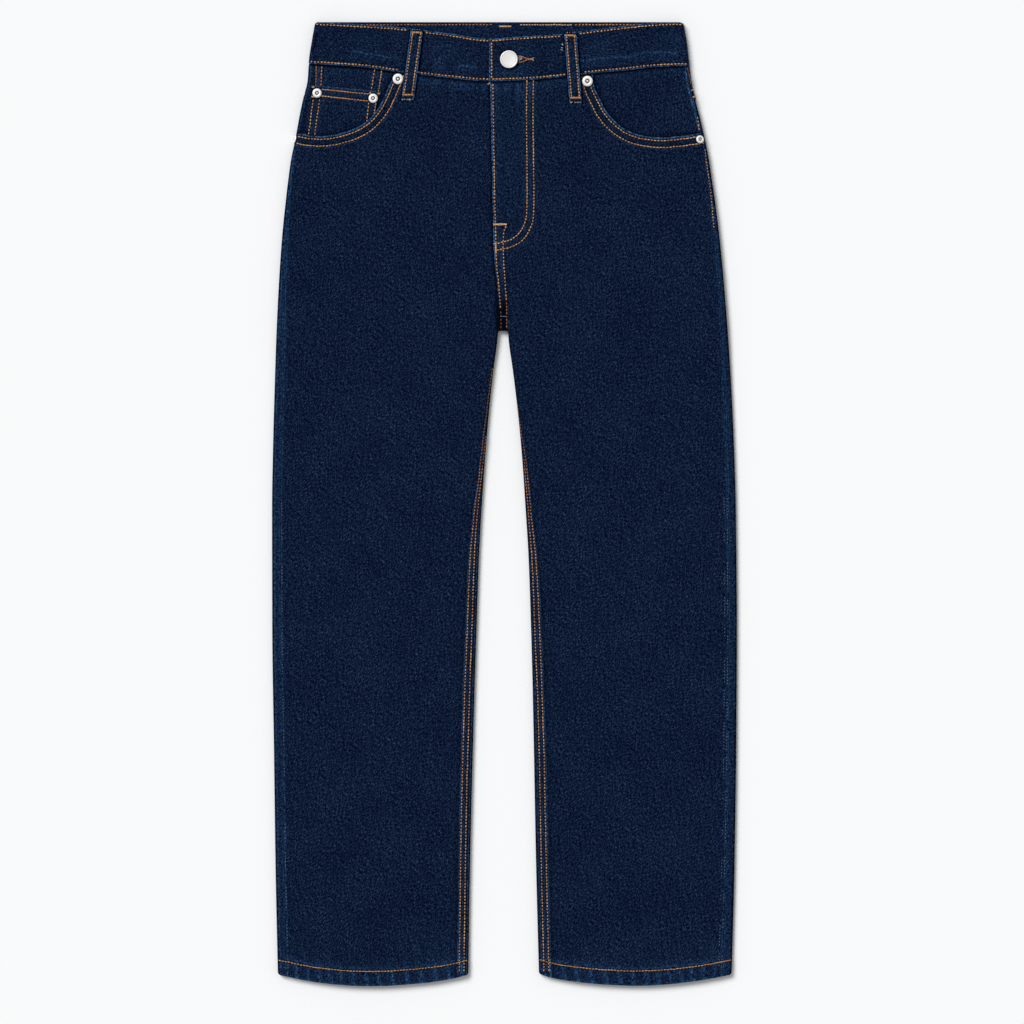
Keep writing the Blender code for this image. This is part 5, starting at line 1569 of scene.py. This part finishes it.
flyRows = {
    # how far in from the fly's edge its first row lies
    "first": {"y": [183, 197, 204, 213, 225, 239, 252, 267, 282, 297, 441],
              "x": [2.8, 2.8, 2.6, 2.1, 1.9, 2.0, 2.2, 2.4, 2.7, 2.5, 2.7]},
    # from the tack down to the crotch
    "second": [(2.7, 292), (0.4, 287.3), (-0.5, 281.7), (-0.8, 266.7), (-0.5, 258.3), (-0.1, 248), (0.7, 238.6),
               (1.3, 230.1), (2.0, 220.8), (2.5, 213.3)],
    "curves": [[(24.2, 445), (23.6, 412.7), (24.4, 319), (23.9, 305), (22.4, 296.7), (19.6, 289.2),
                (14.9, 283.1), (9.3, 278.4), (3.7, 276.1), (-1, 274.7), (-7.6, 273.3), (-10.4, 272.6)],
               [(30.8, 445), (30.3, 412.7), (31.5, 319), (30.9, 303.3), (29.5, 294.8), (27.1, 288.3),
                (22.9, 280.8), (16.8, 274.7), (10.2, 270.9), (1.8, 268.1), (-1, 267.6), (-8, 266)]],
}


def sewFly():
    # rows down the edge, two curved ones, a few cross stitches and tacks
    w = Sewing("fly_stitches")
    on = onFront(left)
    # the lower stretch runs through the crotch and is dimmed: painted shade
    for high, low, shade in ((441, 205, (0.42, 0.88)), (203, 183.5, (0.17, 0.22))):
        ys = np.linspace(high, low, 120)
        xs = read(flyEdge, "x", ys) + read(flyRows["first"], "x", ys)
        w.row(np.stack([xs, ys], -1), on, radius=0.6, shade=shade)
    for path in flyRows["curves"]:
        w.row(smoothPath(path, 140), on, pitch=3.4, length=2.5, radius=0.6, shade=(0.4, 0.88))
    w.row(smoothPath(flyRows["second"], 80), on, radius=0.6)
    # dimmed through the crotch: painted shade
    w.row([(2.6, 212), (2.9, 206.7), (2.9, 184.5)], on, radius=0.55, shade=(0.22, 0.5))
    w.row([(-3.2, 196.9), (2.2, 196.9)], on, pitch=1.8, length=1.9, radius=0.45, shade=(0.1, 0.1))
    for y in (293.9, 292.9):
        w.row([(-11.4, y), (3.0, y)], on, pitch=1.6, length=2.2, radius=0.5, shade=(0.6, 0.9))
    w.tack((-8.6, 273.6), (-8.4, 262.8), on, 1.8)
    w.tack((-11.2, 272.6), (-8.4, 273.2), on, 1.5)
    w.finish()


legSewing = {
    # where the two inseam rows come into sight
    "top": {left: {"Near": 48, "Far": 108}, right: {"Near": 72, "Far": 143}},
    # from where (the top if none), down to where, shade and radius: dull and thin near the crotch
    "stretches": [(None, 38, (0.2, 0.36), 0.42), (38, -25, (0.28, 0.62), 0.52),
                  (-25, -491, (0.36, 0.85), 0.58)],
    "outseam": {left: (0.8, 4.0), right: (1.3,)},
    "hemY": -478,
}


def sewLegs():
    # two rows down each inseam, traces of the outseam, one row along the front of each hem
    s = legSewing
    for side in (left, right):
        name, on = sideName[side], onFront(side)
        w = Sewing("leg_stitches_" + name)
        for row, top in s["top"][side].items():
            for high, low, shade, radius in s["stretches"]:
                at = np.linspace(high or top, low, 200)
                xs = read(innerLeg, name, at) + side * read(legRows, name + row, at)
                w.row(np.stack([xs, at], -1), on, pitch=3.35, length=2.1, radius=radius, shade=shade)
        for across in s["outseam"][side]:  # stitches of the outseam, seen here and there
            for high in range(10, -470, -34):
                ends = high - rng.uniform(0, 12), high - rng.uniform(14, 34)
                at = np.linspace(*ends, 20)
                xs = outerEdge(side, at) - side * (read(outseamInset, name, at) + across)
                w.row(np.stack([xs, at], -1), on, pitch=3.3, length=1.3, radius=0.42, shade=(0.09, 0.11))
        edges = sorted((outerEdge(side, s["hemY"]) - side, read(innerLeg, name, s["hemY"]) + side))
        xs = np.linspace(edges[0], edges[1], 120)
        w.row(np.stack([xs, read(hemLine, "y", xs, "x") + frontSeams["hemRow"]], -1), on,
              pitch=3.3, length=2.9, radius=0.46, shade=(0.45, 0.8))
        w.finish()


def sewLoops():
    # two rows down each front loop, and tacks
    w = Sewing("loop_stitches")
    for side in (left, right):
        (xt, yt), (xb, yb) = loopEnds[side]

        def height(x, y, side=side, xt=xt, yt=yt, xb=xb, yb=yb):
            # on the loop, at a share of its length
            along = (yt - y) / (yt - yb)
            return loopPlace(side, along, x - (xt + (xb - xt) * along))[..., 2]

        for across in (-loops["rowAt"], loops["rowAt"]):
            w.row([(xt + across, yt - 3), (xb + across, yb + 4.5)], height, pitch=3.3)
        w.tack((xt - 5.4, yt - 2.4), (xt + 5.4, yt - 2.8), height, 2.1, shade=(0.35, 0.85))
        w.tack((xb - 5.6, yb + 4.0), (xb + 5.6, yb + 4.0), height, 2.2, shade=(0.35, 0.85))
    # ends of the side loops' tacks that show past the fold
    for x, y in ((198.2, 434.3), (199.6, 427.1)):
        w.tack((x - 1.8, y - 0.7), (x + 1.5, y + 0.7), onSideLoop, 1.6)
    w.finish()


sewBand()
sewPockets()
sewFly()
sewLegs()
sewLoops()
print("thread sewn")


def frayLoops():
    # short curled yarn ends below and above the loops, beside one of them and in the buttonhole
    w = Sewing("frayed_yarns")
    # middle, reach to each side and up, how many
    spots = [(*loopEnds[k][1], 6.2, 0.9, 34) for k in (left, right)]
    spots += [(loopEnds[k][0][0], loopEnds[k][0][1] - 0.1, 5.0, 0.7, 9) for k in (left, right)]
    spots += [(61.3, 482.2, 0.8, 0.9, 4), (60.5, 476.2, 0.8, 0.9, 4), (61.0, 479.2, 0.6, 0.8, 2),
              (76.2, 489, 0.8, 1.4, 4), (17.0, 466.4, 1.8, 2.2, 16)]
    for cx, cy, rx, ry, count in spots:
        x, y = cx + rng.uniform(-rx, rx, count), cy + rng.uniform(-ry, ry, count)
        aboveSeam = y > read(waistSeam, "y", x, "x")
        z = np.where(aboveSeam, bandTop(x, y) + 0.3, frontTop(left if cx > 0 else right, x, y) + 0.9)
        middle = np.stack([x, y, z], -1)
        turn = rng.uniform(0, math.pi, count) if ry > 1 else rng.uniform(1.1, 2.0, count)
        along = np.stack([np.cos(turn), np.sin(turn), rng.uniform(-0.3, 0.3, count)], -1)
        normal = np.broadcast_to([0.0, 0, 1], (count, 3))
        lengths, radius = ((1.0, 1.5), 0.32) if count < 10 else ((1.4, 2.8), 0.2)
        w.add(stitchShape(), middle, along, normal, rng.uniform(*lengths, count), radius, 0.5)
    w.finish(frayMaterial)


frayLoops()


# Button and rivets

def turnedMesh(name, profile, steps, middle, dark, tilt=0.0, swing=0.0):
    # a profile of radius and height turned about its own axis, then tilted and swung to its place
    profile = np.asarray(profile, float)
    turn = np.linspace(0, 2 * math.pi, steps, endpoint=False)
    ring = profile[1:-1]
    x = ring[:, :1] * np.cos(turn)
    y = ring[:, :1] * np.sin(turn)
    z = ring[:, 1:] + 0 * x
    ends = [[0, 0, profile[0, 1]], [0, 0, profile[-1, 1]]]
    points = np.concatenate([np.stack([x, y, z], -1).reshape(-1, 3), ends])
    count = len(ring)
    index = np.arange(count * steps).reshape(count, steps)
    after = np.roll(index, -1, axis=1)
    sides = np.stack([index[:-1], index[1:], after[1:], after[:-1]], -1).reshape(-1, 4).tolist()
    top, low = count * steps, count * steps + 1
    faces = sides + [[top, a, b] for a, b in zip(index[0], after[0])]
    faces += [[low, b, a] for a, b in zip(index[-1], after[-1])]
    ct, st, cs, ss = math.cos(tilt), math.sin(tilt), math.cos(swing), math.sin(swing)
    lean = np.array([[ct, 0, st], [0, 1, 0], [-st, 0, ct]])
    spin = np.array([[cs, -ss, 0], [ss, cs, 0], [0, 0, 1]])
    radius = np.hypot(points[:, 0], points[:, 1])
    placed = (points @ (spin @ lean).T + np.asarray(middle)) * mm
    mesh = bpy.data.meshes.new(name)
    mesh.from_pydata(placed.tolist(), [], faces)
    mesh.polygons.foreach_set("use_smooth", np.ones(len(faces), bool))
    mesh.materials.append(steelMaterial)
    piece = linked(name, mesh)
    paint(piece, {"dark": dark(radius)})
    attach(piece, "root")
    return piece


def makeButton():
    # a low dome with a rounded rim on a short shank
    low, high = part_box("button")
    shank = 3.2
    middle = ((low[0] + high[0]) / 2 / mm, (low[1] + high[1]) / 2 / mm, low[2] / mm + shank)
    r = 9.3
    dome = [(r * s, 2.75 + 0.55 * s**2) for s in np.linspace(0, 0.78, 9)]
    rim = [(r * (0.9 + 0.1 * math.sin(a)), 2.35 + 1.05 * math.cos(a)) for a in np.linspace(-0.9, 2.4, 12)]
    under = [(7.8, 0.6), (4.5, 0.35), (1.6, 0.2), (1.5, 0.1 - shank), (0.9, -shank), (0, -shank)]
    piece = turnedMesh("shank_button", dome + rim + under, 64, middle,
                       dark=lambda radius: 0.07 * (radius < 7.4) + 0.25 * bump(radius - 7.6, 0.45))
    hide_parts("button")


def ringDark(share):
    # dark groove round the middle, and a little at the rim
    return 0.98 * np.exp(-((share - 0.29) / 0.14) ** 4) + 0.25 * (share > 0.96)


rivets = {
    "profile": [(0, 1.45), (0.09, 1.42), (0.17, 1.25), (0.22, 0.95), (0.29, 0.8), (0.37, 0.9), (0.43, 1.25),
                (0.51, 1.45), (0.64, 1.5), (0.78, 1.35), (0.9, 1.0), (0.97, 0.55), (1, 0.1), (0.95, 0), (0, 0)],
    "flat": {"rivet_coin_outer": 5.0, "rivet_coin_inner": 5.0,
             "rivet_mouth_right_inner": 5.75, "rivet_mouth_left_inner": 5.75},
    # side, distance in from the fold's edge, place up the garment, radius and tilt
    "side": {"rivet_mouth_right_outer": (right, -0.2, 383.0, 4.6, 75),
             "rivet_mouth_left_outer": (left, 5.4, 382.6, 4.3, 20)},
}


def makeRivet(name, radius, middle, tilt=0.0, swing=0.0):
    # a cap with a groove round its middle
    profile = [(share * radius, z) for share, z in rivets["profile"]]
    piece = turnedMesh(name + "_cap", profile, 40, middle, lambda r: ringDark(r / radius), tilt, swing)
    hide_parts(name)


makeButton()
for name, radius in rivets["flat"].items():
    low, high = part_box(name)
    makeRivet(name, radius, [(low[0] + high[0]) / 2 / mm, (low[1] + high[1]) / 2 / mm, low[2] / mm])
for name, (side, inset, y, radius, tilt) in rivets["side"].items():
    tilt, f = math.radians(tilt), cloth["fold"]
    up = (f + cloth["gap"] + (inset - f) * math.sin(tilt)) / math.cos(tilt)
    slope = (outerEdge(side, y + 5) - outerEdge(side, y - 5)) / 10
    middle = [outerEdge(side, y) - side * inset, y, rise(y) + f + up]
    makeRivet(name, radius, middle, side * tilt, -math.atan(slope))
print("button and rivets made")
